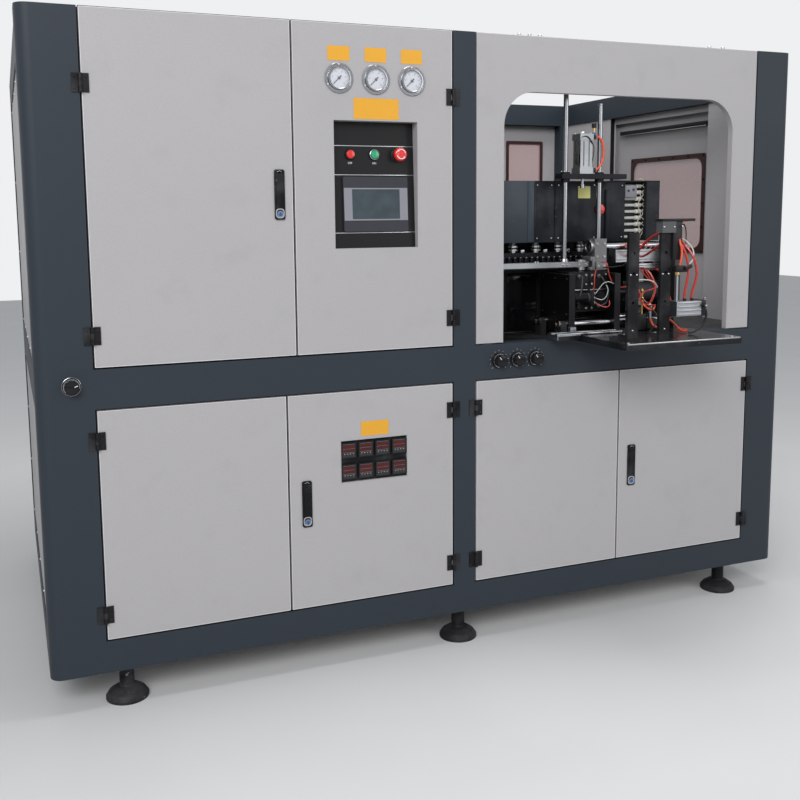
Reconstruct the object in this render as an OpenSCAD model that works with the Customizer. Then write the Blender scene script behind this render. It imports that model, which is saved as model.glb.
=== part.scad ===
// Two-bay stretch blow moulding machine in a sheet-steel cabinet.
// The left bay holds the controls and the right bay is open to the moulding station.
// Inside each module X runs along the front from the cabinet's middle, Y runs back from its
// front face and Z runs up from its underside. The place() module moves that to the part's frame.

/* [Cabinet] */
// Overall width of the cabinet
cab_w = 2500; // [2300:10:2700]
// Depth of the cabinet
cab_d = 1450; // [1350:10:1600]
// Height of the cabinet above its feet
cab_h = 1800; // [1740:10:1900]
// Height of the levelling feet
foot_h = 100; // [85:5:130]
// Width of the front corner posts
post_w = 150; // [130:5:170]
// Depth of the front corner posts
post_d = 100; // [80:5:120]
// Width of the middle posts
mid_post_w = 74; // [60:2:90]
// Radius of the upright outer corners
corner_r = 35; // [20:5:50]
// Wall of the frame's folded sections
frame_wall = 4; // [3:0.5:5]
// Depth of the front rails and of the side and rear members
rail_d = 60; // [50:5:80]
// Height of the bottom rails
low_rail_h = 92; // [80:2:110]
// Height of the middle rails
mid_rail_h = 109; // [90:1:120]
// Underside of the middle rails
mid_rail_z = 747; // [700:1:780]
// Height of the side and rear top rails
top_rail_h = 92; // [80:2:110]
// Drop of the side and rear top rails below the front frame
back_drop = 40; // [0:5:50]
// Width of the rear corner posts
rear_post_w = 80; // [60:5:100]
// Thickness of the loose panels and of the folded sheet
sheet = 2; // [1.5:0.25:3]
// Outer radius of the folds of the doors
fold_r = 3; // [2:0.5:4]

/* [Doors] */
// Gap round a closed door
gap = 3.5; // [2.5:0.5:5]
// Depth of a door's folded edge
door_t = 22; // [18:1:26]
// Width of the folded lip at the back of a door
door_lip = 18; // [12:1:24]
// Width of the upper door that carries the controls
control_door_w = 492.5; // [470:0.5:520]
// Clearance behind a closed door
door_stop = 0.3; // [0.3:0.1:0.8]
// Width of a hinge leaf from its pin
leaf_w = 22; // [18:1:26]
// Height of a hinge
hinge_h = 49; // [40:1:60]
// Thickness of a hinge leaf
leaf_t = 3; // [2:0.5:3.5]
// Radius of a hinge knuckle
knuckle_r = 5.5; // [5:0.25:6]
// Radius of a hinge pin
pin_r = 2.5; // [2:0.25:2.75]
// Distance of a hinge pin in front of the doors
hinge_y = 6; // [6:0.25:8]
// Height of the lower hinge above an upper door's bottom edge
up_hinge_low = 87; // [60:1:120]
// Drop of the upper hinge below an upper door's top edge
up_hinge_drop = 194; // [150:1:240]
// Height of the lower hinge above a lower door's bottom edge
low_hinge_low = 73.5; // [50:0.5:110]
// Drop of the upper hinge below a lower door's top edge
low_hinge_drop = 83.5; // [60:0.5:120]

/* [Locks] */
// Width of a lock's face plate
lock_w = 30; // [28:1:36]
// Height of a lock's face plate
lock_h = 140; // [134:1:160]
// Thickness of a lock's face plate
lock_plate_t = 4; // [3:0.5:6]
// Depth of a lock's housing behind the door's face
lock_tub_d = 18; // [16:1:20]
// Width of a lock's paddle
paddle_w = 20; // [17:0.5:21]
// Length of a lock's paddle
paddle_len = 99; // [90:1:104]
// Thickness of a lock's paddle
paddle_t = 9; // [7:0.5:10]
// Radius of a lock's push button
lock_button_r = 9; // [7:0.5:10]
// Distance of the upper lock from its door's edge
up_lock_in = 40; // [34:1:60]
// Distance of the lower locks from their door's edge
low_lock_in = 52; // [40:1:70]
// Height of the upper lock above its door's bottom edge
up_lock_z = 460; // [400:5:520]
// Height of the lower locks above their door's bottom edge
low_lock_z = 320; // [260:5:380]

/* [Controls] */
// Width of the control recess
recess_w = 259; // [250:1:280]
// Height of the control recess
recess_h = 366; // [350:1:390]
// Drop of the recess below the control door's top edge
recess_drop = 269.5; // [260:0.5:290]
// Depth of the recess at its bottom
recess_low_d = 20; // [18:1:26]
// Depth of the recess at its top
recess_top_d = 38; // [32:1:48]
// Thickness of the control panel
panel_t = 3; // [2:0.5:4]
// Width of the operator screen's frame
screen_w = 202; // [190:1:212]
// Height of the operator screen's frame
screen_h = 160; // [150:1:172]
// Height of the screen above the panel's bottom edge
screen_z = 47.5; // [36:0.5:56]
// Sideways offset of the controls from the middle of their doors
control_off = 3; // [0:0.5:8]
// Sideways offset of the screen and of the middle button on the panel
screen_x = 4.5; // [0:0.5:9]
// Distance between the buttons
button_pitch = 75; // [66:1:80]
// Height of the buttons above the panel's bottom edge
button_z = 272; // [262:1:290]
// Radius of a button's cap
button_r = 12; // [10:0.5:13]
// Radius of the emergency stop's head
stop_r = 20; // [18:0.5:22]
// Radius of a button's stem
stem_r = 8; // [6:0.5:9]
// Radius of a gauge's flange
gauge_r = 42; // [38:0.5:46]
// Distance between the gauges
gauge_pitch = 112; // [100:1:124]
// Drop of the gauges below the door's top edge
gauge_drop = 152.5; // [140:0.5:165]
// Width of the controllers' cut-out
ctrl_w = 216; // [212:1:236]
// Height of the controllers' cut-out
ctrl_h = 131; // [124:1:144]
// Height of the controllers' cut-out above the door's bottom edge
ctrl_z = 369.5; // [350:0.5:390]
// Side of a temperature controller's face
ctrl_face = 48; // [46:0.5:50]
// Radius of a rotary knob
knob_r = 23; // [20:0.5:25]
// Height of a rotary knob
knob_h = 24; // [20:1:28]
// Radius of a knob's spindle
spindle_r = 5; // [4:0.5:6]
// Distance of the first heater knob from the cabinet's middle
knob_x = 119.5; // [110:0.5:130]
// Distance between the heater knobs
knob_pitch = 64.5; // [56:0.5:70]
// Height of the heater knobs
knob_z = 804; // [790:1:815]

/* [Window and panels] */
// Width of the strips beside the work window
window_side = 97; // [85:1:110]
// Height of the strip over the work window
window_head = 168; // [150:1:190]
// Radius of the work window's upper corners
window_r = 105; // [80:5:130]
// Width of the side door's tinted pane
pane_w = 490; // [440:5:560]
// Width of the rear tinted pane
rear_pane_w = 190; // [160:5:260]
// Drop of the tinted panes' lower edge below the cabinet's top
pane_drop = 700; // [640:5:720]
// Height of the side door's pane
pane_h = 390; // [340:2:400]
// Height of the rear pane
rear_pane_h = 495; // [440:5:510]
// Thickness of the tinted panes
pane_t = 3; // [2:0.5:3]
// Width of the sliding side door
side_door_w = 690; // [660:5:720]
// Distance of the side door from the cabinet's front
side_door_y = 345; // [330:5:360]

/* [Table] */
// Width of the work table
table_w = 424; // [410:2:440]
// Reach of the table in front of the cabinet
table_out = 305; // [270:5:330]
// Reach of the table behind the cabinet's front
table_in = 400; // [380:5:420]
// Distance of the table's screw holes from its edges
table_hole_in = 20; // [16:1:26]
// Radius of the table's screw holes
table_hole_r = 5.5; // [4.5:0.5:7]
// Thickness of the table
table_t = 20; // [16:1:25]
// Distance of the table's left edge from the cabinet's middle
table_x = 382; // [372:1:392]
// Distance of the left upright from the table's left edge
upright_first = 78; // [70:1:84]
// Distance between the uprights
upright_pitch = 118; // [110:1:126]
// Width of the uprights on the table
upright_w = 38; // [32:1:44]
// Thickness of the uprights
upright_t = 12; // [10:1:16]
// Distance of the uprights in front of the cabinet
upright_out = 184; // [170:2:200]
// Height of the uprights
upright_h = 323; // [300:1:340]

/* [Moulding station] */
// Parting plane of the mould from the cabinet's middle
part_x = 468; // [464:1:472]
// Distance of the moulding station behind the cabinet's front
station_y = 85; // [82:1:92]
// Thickness of one mould half
mould_w = 75; // [70:1:80]
// Depth of the mould
mould_d = 92; // [84:1:96]
// Height of the mould
mould_h = 130; // [120:1:136]
// Underside of the mould above the table
mould_up = 64; // [60:1:70]
// Radius of the bottle cavity
bottle_r = 26; // [20:1:30]
// Thickness of the platens
platen_t = 22; // [18:1:26]
// Radius of the clamp's guide bars
bar_r = 10; // [8:0.5:11]
// Distance between the guide bars
bar_pitch = 130; // [122:1:134]
// Height of the guide bars above the table
bar_up = 29; // [24:1:34]
// Opening stroke of the mould
clamp_stroke = 80; // [60:5:85]
// Radius of the two upright guide rods
rod_r = 8; // [7:0.5:9]
// Distance between the upright guide rods
rod_pitch = 130; // [126:1:134]
// Top of the right-hand guide rod
rod_top = 1615; // [1590:5:1630]
// Height of the head bar's underside
head_z = 1085; // [1083:1:1092]
// Thickness of the head bar
head_t = 17; // [14:1:20]
// Underside of the lifting crossbar
cross_z = 1372; // [1350:2:1400]
// Thickness of the lifting crossbar
cross_t = 16; // [12:1:20]
// Length of the stretch cylinder
stretch_len = 128; // [120:1:140]
// Radius of the stretch rod
stretch_r = 5; // [4:0.5:6]
// Running clearance of every sliding or turning fit
run = 0.05; // [0.02:0.01:0.08]

/* [Preform line] */
// Distance between the preform holders
holder_pitch = 86.5; // [80:0.5:90]
// Radius of a preform holder
holder_r = 19; // [16:0.5:22]
// Distance of the preform line behind the cabinet's front
line_y = 195; // [192:1:200]
// Underside of the heating tunnel
oven_z = 1165; // [1162:1:1172]
// Height of the heating tunnel
oven_h = 200; // [190:2:210]
// Depth of the heating tunnel
oven_d = 170; // [160:2:190]
// Radius of a heating lamp
lamp_r = 5; // [4:0.5:6]

/* [Hidden] */
$fn = 40;

half_w = cab_w / 2;
bay_in = mid_post_w / 2;
bay_out = half_w - post_w;
bay_w = bay_out - bay_in;
deck_z = mid_rail_z + mid_rail_h;
low_z0 = low_rail_h + gap;
low_door_h = mid_rail_z - gap - low_z0;
up_z0 = deck_z + gap;
up_door_h = cab_h - up_z0;
recess_z = cab_h - recess_drop - recess_h;
pane_z = cab_h - pane_drop;
low_door_w = (bay_w - 3 * gap) / 2;
upper_door_w = bay_w - 3 * gap - control_door_w;
recess_y = door_t + door_stop;
face_y = -(cab_d - table_out) / 2;

// Left edges of the doors, in the order upper, control and the four lower ones.
upper_x = -bay_out + gap;
control_x = upper_x + upper_door_w + gap;
low_x = [-bay_out + gap, -bay_out + 2 * gap + low_door_w, bay_in + gap, bay_in + 2 * gap + low_door_w];
control_mid = control_x + control_door_w / 2 + control_off;
ctrl_mid = low_x[1] + low_door_w / 2 + control_off;

// Places of the three locks.
lock_at = [
    [upper_x + upper_door_w - up_lock_in, up_z0 + up_lock_z],
    [low_x[1] + low_lock_in, low_z0 + low_lock_z],
    [low_x[3] + low_lock_in, low_z0 + low_lock_z]
];
lock_tub_w = lock_w - 5;
lock_tub_h = lock_h - 8;
pocket_w = paddle_w + 1;
pocket_low = -38;
pocket_d = 14;
paddle_pin_r = 2;
paddle_pin_z = pocket_low + paddle_len - 6;
lock_button_z = pocket_low - lock_button_r - 7;

lean = atan((recess_top_d - recess_low_d) / recess_h);
panel_len = recess_h / cos(lean);
stem_hole_r = stem_r + run;
collar_t = 5;
collar_r = button_r + 2.5;
gauge_tub_r = gauge_r - 9;
gauge_z = cab_h - gauge_drop;
ctrl_back = 8;
ctrl_body = ctrl_face - 4;

switch_in = 58;
switch_x = -bay_out - switch_in;
window_x0 = bay_in + window_side;
window_x1 = bay_out - window_side;
window_z1 = cab_h - window_head;
side_in = half_w - rail_d;
side_pane_in = (side_door_w - pane_w) / 2 - 17;
back_h = cab_h - back_drop;
back_in = cab_d - rail_d;
deck_t = 10;
deck_rib_w = 40;
deck_rib_h = 50;
roof_drop = 12;
board_gap = 60;
board_drop = 80;

table_top = deck_z + table_t;
upright_x = [table_x + upright_first, table_x + upright_first + upright_pitch];
mould_z0 = table_top + mould_up;
fixed_platen_x = part_x - mould_w - platen_t;
moving_platen_x = part_x + mould_w;
bar_z = table_top + bar_up;
thrust_x = 780;
thrust_t = 22;
thrust_h = oven_z - table_top - 3;
bar_x0 = 345;
rail_block_w = 21;
tie_bar_z = table_top + 274;
tie_bar_r = 11;
platen_d = bar_pitch + 44;
platen_h = mould_up + mould_h - 10;
ram_x0 = moving_platen_x + platen_t + clamp_stroke + 12;
ram_rod_r = 10;
ram_z = mould_z0 + 55;

rod_x = [part_x - rod_pitch / 2, part_x + rod_pitch / 2];
head_x0 = 100;
head_w = 26;
bracket_x0 = rod_x[1] - 28;
bracket_w = 46;
bracket_z0 = head_z - 13;
bracket_h = 104;
bracket_d = 48;
rod_seat = 5;
cross_x0 = rod_x[0] - 24;
cross_w = 246;
cross_d = 46;

holder_n = 6;
holder_x1 = rod_x[1] - 3;
holder_h = 25;
carrier_z = oven_z - 72;
carrier_h = 38;
carrier_d = 46;
carrier_x0 = holder_x1 - holder_pitch * (holder_n - 1) - 42;
carrier_x1 = holder_x1 + 46;
track_z = carrier_z - 18;
track_x0 = 60;
track_x1 = 762;
end_box_w = 54;
oven_y0 = line_y - 55;
oven_x = [60, 322, 400, 563, 676];
oven_x0 = oven_x[0];
oven_len = track_x1 + end_box_w - oven_x0;
lamp_n = 9;
leg_w = 40;

module place() {
    translate([0, face_y, foot_h]) children();
}

// Plan of an upright section with one rounded outer corner at the origin.
module corner_plan(w, d, r) {
    translate([r, 0]) square([w - r, d]);
    translate([0, r]) square([w, d - r]);
    translate([r, r]) circle(r);
}

// Hollow folded post with a closed top.
module corner_post(w, d, r, h, t) {
    difference() {
        linear_extrude(h) corner_plan(w, d, r);
        translate([t, t, -1]) linear_extrude(h - t + 1) corner_plan(w - 2 * t, d - 2 * t, r - t);
    }
}

// Folded channel along X, open towards the floor, or towards the ceiling if up is true.
module channel_x(len, d, h, t, up = false) {
    difference() {
        cube([len, d, h]);
        translate([-1, t, up ? t : -1]) cube([len + 2, d - 2 * t, h - t + 1]);
    }
}

// Square tube along Y.
module tube_y(w, len, h, t) {
    difference() {
        cube([w, len, h]);
        translate([t, -1, t]) cube([w - 2 * t, len + 2, h - 2 * t]);
    }
}

module cyl_x(r, len) {
    rotate([0, 90, 0]) cylinder(r = r, h = len);
}

module cyl_y(r, len) {
    rotate([-90, 0, 0]) cylinder(r = r, h = len);
}

// Spindle holes of the rotary knobs through the front frame.
module knob_holes() {
    for (i = [0:2]) {
        translate([knob_x + i * knob_pitch, -1, knob_z]) cyl_y(spindle_r + run, frame_wall + 2);
    }
    translate([switch_x, -1, knob_z + 10]) cyl_y(spindle_r + run, frame_wall + 2);
}

module front_frame() {
    color([0.24, 0.27, 0.30])
    place()
    difference() {
        union() {
            for (m = [0, 1]) {
                mirror([m, 0, 0]) translate([-half_w, 0, 0]) {
                    corner_post(post_w, post_d, corner_r, cab_h, frame_wall);
                }
            }
            difference() {
                translate([-bay_in, 0, 0]) cube([mid_post_w, rail_d, cab_h]);
                translate([-bay_in + frame_wall, frame_wall, -1]) {
                    cube([mid_post_w - 2 * frame_wall, rail_d - 2 * frame_wall, cab_h - frame_wall + 1]);
                }
            }
            translate([-bay_out, 0, 0]) channel_x(2 * bay_out, rail_d, low_rail_h, frame_wall, true);
            translate([-bay_out, 0, mid_rail_z]) channel_x(2 * bay_out, rail_d, mid_rail_h, frame_wall);
            for (x = [-bay_out, bay_in]) {
                translate([x, recess_y, cab_h - rail_d]) {
                    channel_x(bay_w, rail_d - recess_y, rail_d, sheet);
                }
            }
        }
        knob_holes();
    }
}

module rear_frame() {
    color([0.24, 0.27, 0.30])
    place()
    translate([0, cab_d, 0]) mirror([0, 1, 0]) {
        for (m = [0, 1]) {
            mirror([m, 0, 0]) translate([-half_w, 0, 0]) {
                corner_post(rear_post_w, rail_d, min(corner_r, rail_d / 2), back_h, frame_wall);
            }
        }
        difference() {
            translate([-bay_in, 0, 0]) cube([mid_post_w, rail_d, back_h]);
            translate([-bay_in + frame_wall, frame_wall, -1]) {
                cube([mid_post_w - 2 * frame_wall, rail_d - 2 * frame_wall, back_h - frame_wall + 1]);
            }
        }
        rail_x = half_w - rear_post_w;
        translate([-rail_x, 0, 0]) channel_x(2 * rail_x, rail_d, low_rail_h, frame_wall, true);
        translate([-rail_x, 0, mid_rail_z]) channel_x(2 * rail_x, rail_d, mid_rail_h, frame_wall);
        translate([-rail_x, 0, back_h - top_rail_h]) channel_x(2 * rail_x, rail_d, top_rail_h, frame_wall);
    }
}

// Tubes that join the front and rear frames, with the side door's bottom guides.
module tie_rails() {
    levels = [[0, low_rail_h], [mid_rail_z, mid_rail_h], [back_h - top_rail_h, top_rail_h]];
    color([0.24, 0.27, 0.30])
    place() {
        for (m = [0, 1], z = levels) {
            mirror([m, 0, 0]) translate([side_in, post_d, z[0]]) {
                tube_y(rail_d, back_in - post_d, z[1], frame_wall);
            }
        }
        for (z = levels) {
            translate([-bay_in, rail_d, z[0]]) {
                tube_y(mid_post_w, back_in - rail_d, z[1], frame_wall);
            }
        }
        for (x = [half_w - 32, half_w - sheet]) {
            translate([x, post_d, deck_z]) cube([sheet, back_in - post_d, 10]);
        }
    }
}

// Plan of the right bay between the frames, notched round the front corner post.
module bay_plan() {
    difference() {
        translate([bay_in, rail_d]) square([side_in - bay_in, back_in - rail_d]);
        translate([bay_out, 0]) square([post_w, post_d]);
    }
}

// Floor pans, the wall between the bays, and the roof and mounting plate of the left bay.
module inner_panels() {
    color([0.62, 0.62, 0.62])
    place() {
        for (m = [0, 1]) {
            mirror([m, 0, 0]) linear_extrude(sheet) bay_plan();
        }
        translate([-sheet / 2, rail_d, low_rail_h]) cube([sheet, back_in - rail_d, mid_rail_z - low_rail_h]);
        translate([-sheet / 2, rail_d, deck_z]) {
            cube([sheet, back_in - rail_d, back_h - top_rail_h - deck_z]);
        }
        translate([0, 0, back_h - roof_drop]) mirror([1, 0, 0]) linear_extrude(sheet) bay_plan();
        translate([-side_in, back_in - board_gap, deck_z - board_drop]) {
            cube([side_in - bay_in, sheet, back_h - top_rail_h - deck_z]);
        }
    }
}

// Steel deck of the process bay, level with the top of the middle rails.
module deck() {
    color([0.10, 0.10, 0.11])
    place()
    translate([0, 0, deck_z - deck_t]) {
        linear_extrude(deck_t) bay_plan();
        for (x = [0.3, 0.7]) {
            translate([bay_in + (side_in - bay_in) * x, rail_d, -deck_rib_h]) {
                cube([deck_rib_w, back_in - rail_d, deck_rib_h]);
            }
        }
    }
}

// Opening with rounded upper corners, drawn from its lower left corner.
module arch(w, h, r) {
    square([w, h - r]);
    translate([r, 0]) square([w - 2 * r, h]);
    for (x = [r, w - r]) {
        translate([x, h - r]) circle(r);
    }
}

module rounded_plate(w, h, r) {
    translate([r, 0]) square([w - 2 * r, h]);
    translate([0, r]) square([w, h - 2 * r]);
    for (x = [r, w - r], y = [r, h - r]) {
        translate([x, y]) circle(r);
    }
}

// Raises a drawing in XZ into a solid that runs back from y = 0.
module upright_extrude(t) {
    translate([0, t, 0]) rotate([90, 0, 0]) linear_extrude(t) children();
}

// Fixed front panel of the process bay, folded back along its outline and round the work window.
module window_panel() {
    w = bay_w - 2 * gap;
    h = cab_h - up_z0;
    ww = window_x1 - window_x0;
    wh = window_z1 - up_z0;
    color([0.68, 0.67, 0.68])
    place()
    translate([bay_in + gap, 0, up_z0])
    difference() {
        union() {
            difference() {
                folded_block(w, recess_y, h, fold_r);
                translate([sheet, sheet, -1]) cube([w - 2 * sheet, recess_y, h + 1 - sheet]);
            }
            translate([window_x0 - bay_in - gap - sheet, 0, 0]) {
                upright_extrude(recess_y) arch(ww + 2 * sheet, wh + sheet, window_r + sheet);
            }
        }
        translate([window_x0 - bay_in - gap, -1, -1]) {
            upright_extrude(recess_y + 2) arch(ww, wh + 1, window_r);
        }
    }
}

// Closing sheets of the two sides. The right one leaves the sliding door's opening free.
module side_panels() {
    rear_y = side_door_y + side_door_w - 20;
    run_y = back_in - post_d;
    color([0.68, 0.67, 0.68])
    place() {
        for (z = [[low_rail_h, mid_rail_z], [deck_z, back_h - top_rail_h]]) {
            translate([-half_w + 4, post_d, z[0]]) cube([sheet, run_y, z[1] - z[0]]);
        }
        translate([half_w - 4 - sheet, post_d, low_rail_h]) cube([sheet, run_y, mid_rail_z - low_rail_h]);
        translate([side_in + 6, post_d, deck_z]) {
            cube([sheet, side_door_y - post_d + 20, back_h - top_rail_h - deck_z]);
        }
        translate([side_in + 6, rear_y, deck_z]) {
            cube([sheet, back_in - rear_y, back_h - top_rail_h - deck_z]);
        }
    }
}

rear_pane_x = side_in - 90 - rear_pane_w;

module rear_panels() {
    x0 = half_w - rear_post_w;
    color([0.68, 0.67, 0.68])
    place()
    translate([0, cab_d - 4 - sheet, 0])
    for (z = [[low_rail_h, mid_rail_z], [deck_z, back_h - top_rail_h]]) {
        translate([-x0, 0, z[0]]) cube([x0 - bay_in, sheet, z[1] - z[0]]);
        difference() {
            translate([bay_in, 0, z[0]]) cube([x0 - bay_in, sheet, z[1] - z[0]]);
            translate([rear_pane_x + 15, -1, pane_z + 15]) {
                upright_extrude(sheet + 2) rounded_plate(rear_pane_w - 30, rear_pane_h - 30, 12);
            }
        }
    }
}

module rear_pane() {
    color([0.85, 0.55, 0.58, 0.5])
    place()
    translate([rear_pane_x, cab_d - 4 - sheet - pane_t, pane_z]) {
        upright_extrude(pane_t) rounded_plate(rear_pane_w, rear_pane_h, 8);
    }
}

// Sliding guard door of the right side, a folded tray with a rounded window and a grip slot.
module side_door() {
    door_x = half_w - 29;
    t = 26;
    z0 = deck_z + door_stop;
    h = back_h - top_rail_h - door_stop - z0;
    color([0.68, 0.67, 0.68])
    place()
    translate([door_x, side_door_y, z0])
    difference() {
        cube([t, side_door_w, h]);
        translate([-1, sheet, sheet]) cube([t + 1 - sheet, side_door_w - 2 * sheet, h - 2 * sheet]);
        translate([t - sheet - 1, side_pane_in + 20, pane_z + 20 - z0]) {
            rotate([90, 0, 90]) linear_extrude(sheet + 2) rounded_plate(pane_w - 40, pane_h - 40, 20);
        }
        translate([t - sheet - 1, 72, h - 73]) cube([sheet + 2, side_door_w - 144, 12]);
    }
}

module side_pane() {
    color([0.85, 0.55, 0.58, 0.5])
    place()
    translate([half_w - 3, side_door_y + side_pane_in, pane_z]) {
        rotate([90, 0, 90]) linear_extrude(pane_t) rounded_plate(pane_w, pane_h, 30);
    }
}

// Machine foot: a domed pad, a thick collar and a stud that meets the frame.
module foot() {
    rotate_extrude()
    polygon([
        [0, 0], [60, 0], [60, 8], [52, 20], [34, 32], [22, 36], [20, 40],
        [20, foot_h - 12], [27, foot_h - 12], [27, foot_h], [0, foot_h]
    ]);
}

module levelling_feet() {
    color([0.12, 0.12, 0.13])
    for (x = [-bay_out + 55, 0, bay_out - 55], y = [post_d / 2, cab_d - post_d / 2 - 10]) {
        translate([x, face_y + y, 0]) foot();
    }
}

// Leaf of a hinge that is drawn about its pin. Side 1 lies to +X and side -1 to -X.
module leaf(side, own) {
    step = hinge_h / 3;
    ease = 0.3;
    x0 = knuckle_r + 0.7;
    mirror([side < 0 ? 1 : 0, 0, 0]) {
        translate([x0, hinge_y - leaf_t, -hinge_h / 2]) cube([leaf_w - x0, leaf_t, hinge_h]);
        for (k = own) {
            translate([0, 0, k * step - step / 2 + ease]) {
                difference() {
                    union() {
                        cylinder(r = knuckle_r, h = step - 2 * ease);
                        translate([0, hinge_y - leaf_t, 0]) cube([x0 + 1, leaf_t, step - 2 * ease]);
                    }
                    translate([0, 0, -1]) cylinder(r = pin_r + run, h = step + 2);
                }
            }
        }
    }
}

// Every hinge as [x of the pin, z, side of its door].
up_hinges = [up_z0 + up_hinge_low, cab_h - up_hinge_drop];
low_hinges = [low_z0 + low_hinge_low, low_z0 + low_door_h - low_hinge_drop];
hinges = concat(
    [for (z = up_hinges) [upper_x - gap / 2, z, 1]],
    [for (z = up_hinges) [control_x + control_door_w + gap / 2, z, -1]],
    [for (z = low_hinges) [low_x[0] - gap / 2, z, 1]],
    [for (z = low_hinges) [low_x[1] + low_door_w + gap / 2, z, -1]],
    [for (z = low_hinges) [low_x[2] - gap / 2, z, 1]],
    [for (z = low_hinges) [low_x[3] + low_door_w + gap / 2, z, -1]]
);

module fixed_hinges() {
    color([0.08, 0.08, 0.08])
    place()
    for (h = hinges) {
        translate([h[0], -hinge_y, h[1]]) {
            leaf(-h[2], [0]);
            translate([0, 0, -hinge_h / 2]) cylinder(r = pin_r, h = hinge_h);
            cylinder(r = pin_r + 1, h = hinge_h / 3 - 4, center = true);
        }
    }
}

// The two door leaves of the door whose first hinge has this index.
module door_leaves(first) {
    for (i = [first, first + 1]) {
        h = hinges[i];
        translate([h[0], -hinge_y, h[1]]) leaf(h[2], [-1, 1]);
    }
}

// Section of a folded sheet whose two front edges are bent to a radius.
module fold_plan(w, d, r) {
    translate([0, r]) square([w, d - r]);
    translate([r, 0]) square([w - 2 * r, r + 0.01]);
    for (x = [r, w - r]) {
        translate([x, r]) circle(r, $fn = 32);
    }
}

// Block whose four front edges are bent to a radius.
module folded_block(w, d, h, r) {
    intersection() {
        linear_extrude(h) fold_plan(w, d, r);
        rotate([90, 0, 90]) linear_extrude(w) rotate([0, 0, 90]) mirror([0, 1]) fold_plan(h, d, r);
    }
}

// Folded door: a flat front, bent edges and lips that turn in at the back.
module tray(w, h) {
    difference() {
        folded_block(w, door_t, h, fold_r);
        translate([sheet, sheet, sheet]) {
            folded_block(w - 2 * sheet, door_t - 2 * sheet, h - 2 * sheet, fold_r - sheet);
        }
        translate([door_lip, door_t / 2, door_lip]) cube([w - 2 * door_lip, door_t, h - 2 * door_lip]);
    }
}

module lock_hole(i) {
    translate([lock_at[i][0] - lock_tub_w / 2, -1, lock_at[i][1] - lock_tub_h / 2]) {
        cube([lock_tub_w, sheet + 2, lock_tub_h]);
    }
}

module upper_door() {
    color([0.68, 0.67, 0.68])
    place() {
        difference() {
            translate([upper_x, 0, up_z0]) tray(upper_door_w, up_door_h);
            lock_hole(0);
        }
        door_leaves(0);
    }
}

// Side view of the control recess between its front face and depth d behind the panel's front.
module recess_side(over, front, d) {
    slope = (recess_top_d - recess_low_d) / recess_h;
    polygon([
        [front, -over], [front, recess_h + over],
        [recess_low_d + slope * (recess_h + over) + d, recess_h + over],
        [recess_low_d - slope * over + d, -over]
    ]);
}

// Extrudes a drawing in YZ along X, centred.
module along_x(w) {
    rotate([90, 0, 90]) linear_extrude(w, center = true) children();
}

module control_door() {
    color([0.68, 0.67, 0.68])
    place() {
        difference() {
            union() {
                translate([control_x, 0, up_z0]) tray(control_door_w, up_door_h);
                translate([control_mid, 0, recess_z]) {
                    along_x(recess_w + 2 * sheet) recess_side(sheet, 0, panel_t);
                }
            }
            translate([control_mid, 0, recess_z]) {
                along_x(recess_w) recess_side(0, -1, panel_t + 9);
            }
            for (i = [-1:1]) {
                translate([control_mid + i * gauge_pitch, -1, gauge_z]) cyl_y(gauge_tub_r + 0.3, sheet + 2);
            }
        }
        door_leaves(2);
    }
}

module lower_door(i, lock = -1) {
    color([0.68, 0.67, 0.68])
    place() {
        difference() {
            translate([low_x[i], 0, low_z0]) tray(low_door_w, low_door_h);
            if (lock >= 0) lock_hole(lock);
            if (i == 1) {
                translate([ctrl_mid - ctrl_w / 2, -1, low_z0 + ctrl_z]) cube([ctrl_w, sheet + 2, ctrl_h]);
            }
        }
        door_leaves(4 + 2 * i);
    }
}

module lower_door_1() lower_door(0);
module lower_door_2() lower_door(1, 1);
module lower_door_3() lower_door(2);
module lower_door_4() lower_door(3, 2);

module at_lock(i) {
    place() translate([lock_at[i][0], 0, lock_at[i][1]]) children();
}

// Flush lock: a face plate and a tub with a pocket for the paddle and a bore for the button.
module lock_body(i) {
    bottom = lock_button_z;
    color([0.06, 0.06, 0.06])
    at_lock(i)
    difference() {
        union() {
            translate([-lock_w / 2, -lock_plate_t, -lock_h / 2]) {
                upright_extrude(lock_plate_t) rounded_plate(lock_w, lock_h, 6);
            }
            translate([-lock_tub_w / 2, 0, -lock_tub_h / 2]) cube([lock_tub_w, lock_tub_d, lock_tub_h]);
        }
        translate([-pocket_w / 2, -lock_plate_t - 1, pocket_low - 0.5]) {
            cube([pocket_w, pocket_d + lock_plate_t + 1, paddle_len + 3.5]);
        }
        translate([0, -lock_plate_t - 1, bottom]) cyl_y(lock_button_r + run, pocket_d + lock_plate_t + 1);
        translate([-lock_tub_w, 0, paddle_pin_z]) cyl_x(paddle_pin_r + run, 2 * lock_tub_w);
    }
}

module lock_paddle(i) {
    color([0.05, 0.05, 0.05])
    at_lock(i)
    difference() {
        union() {
            translate([-paddle_w / 2, -paddle_t / 2 - 1, pocket_low]) {
                cube([paddle_w, paddle_t, paddle_len - 6]);
            }
            translate([-paddle_w / 2, 0, paddle_pin_z]) cyl_x(paddle_t / 2 + 1, paddle_w);
            translate([-lock_tub_w / 2 + 0.1, 0, paddle_pin_z]) cyl_x(paddle_pin_r, lock_tub_w - 0.2);
        }
        translate([-paddle_w / 2 + 3, -paddle_t, pocket_low + 8]) cube([paddle_w - 6, paddle_t / 2, 34]);
    }
}

module lock_button(i) {
    color([0.80, 0.80, 0.82])
    at_lock(i)
    translate([0, -7, lock_button_z])
    difference() {
        cyl_y(lock_button_r, 14);
        translate([0, -1, 0]) cyl_y(5, 3);
    }
}

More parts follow.
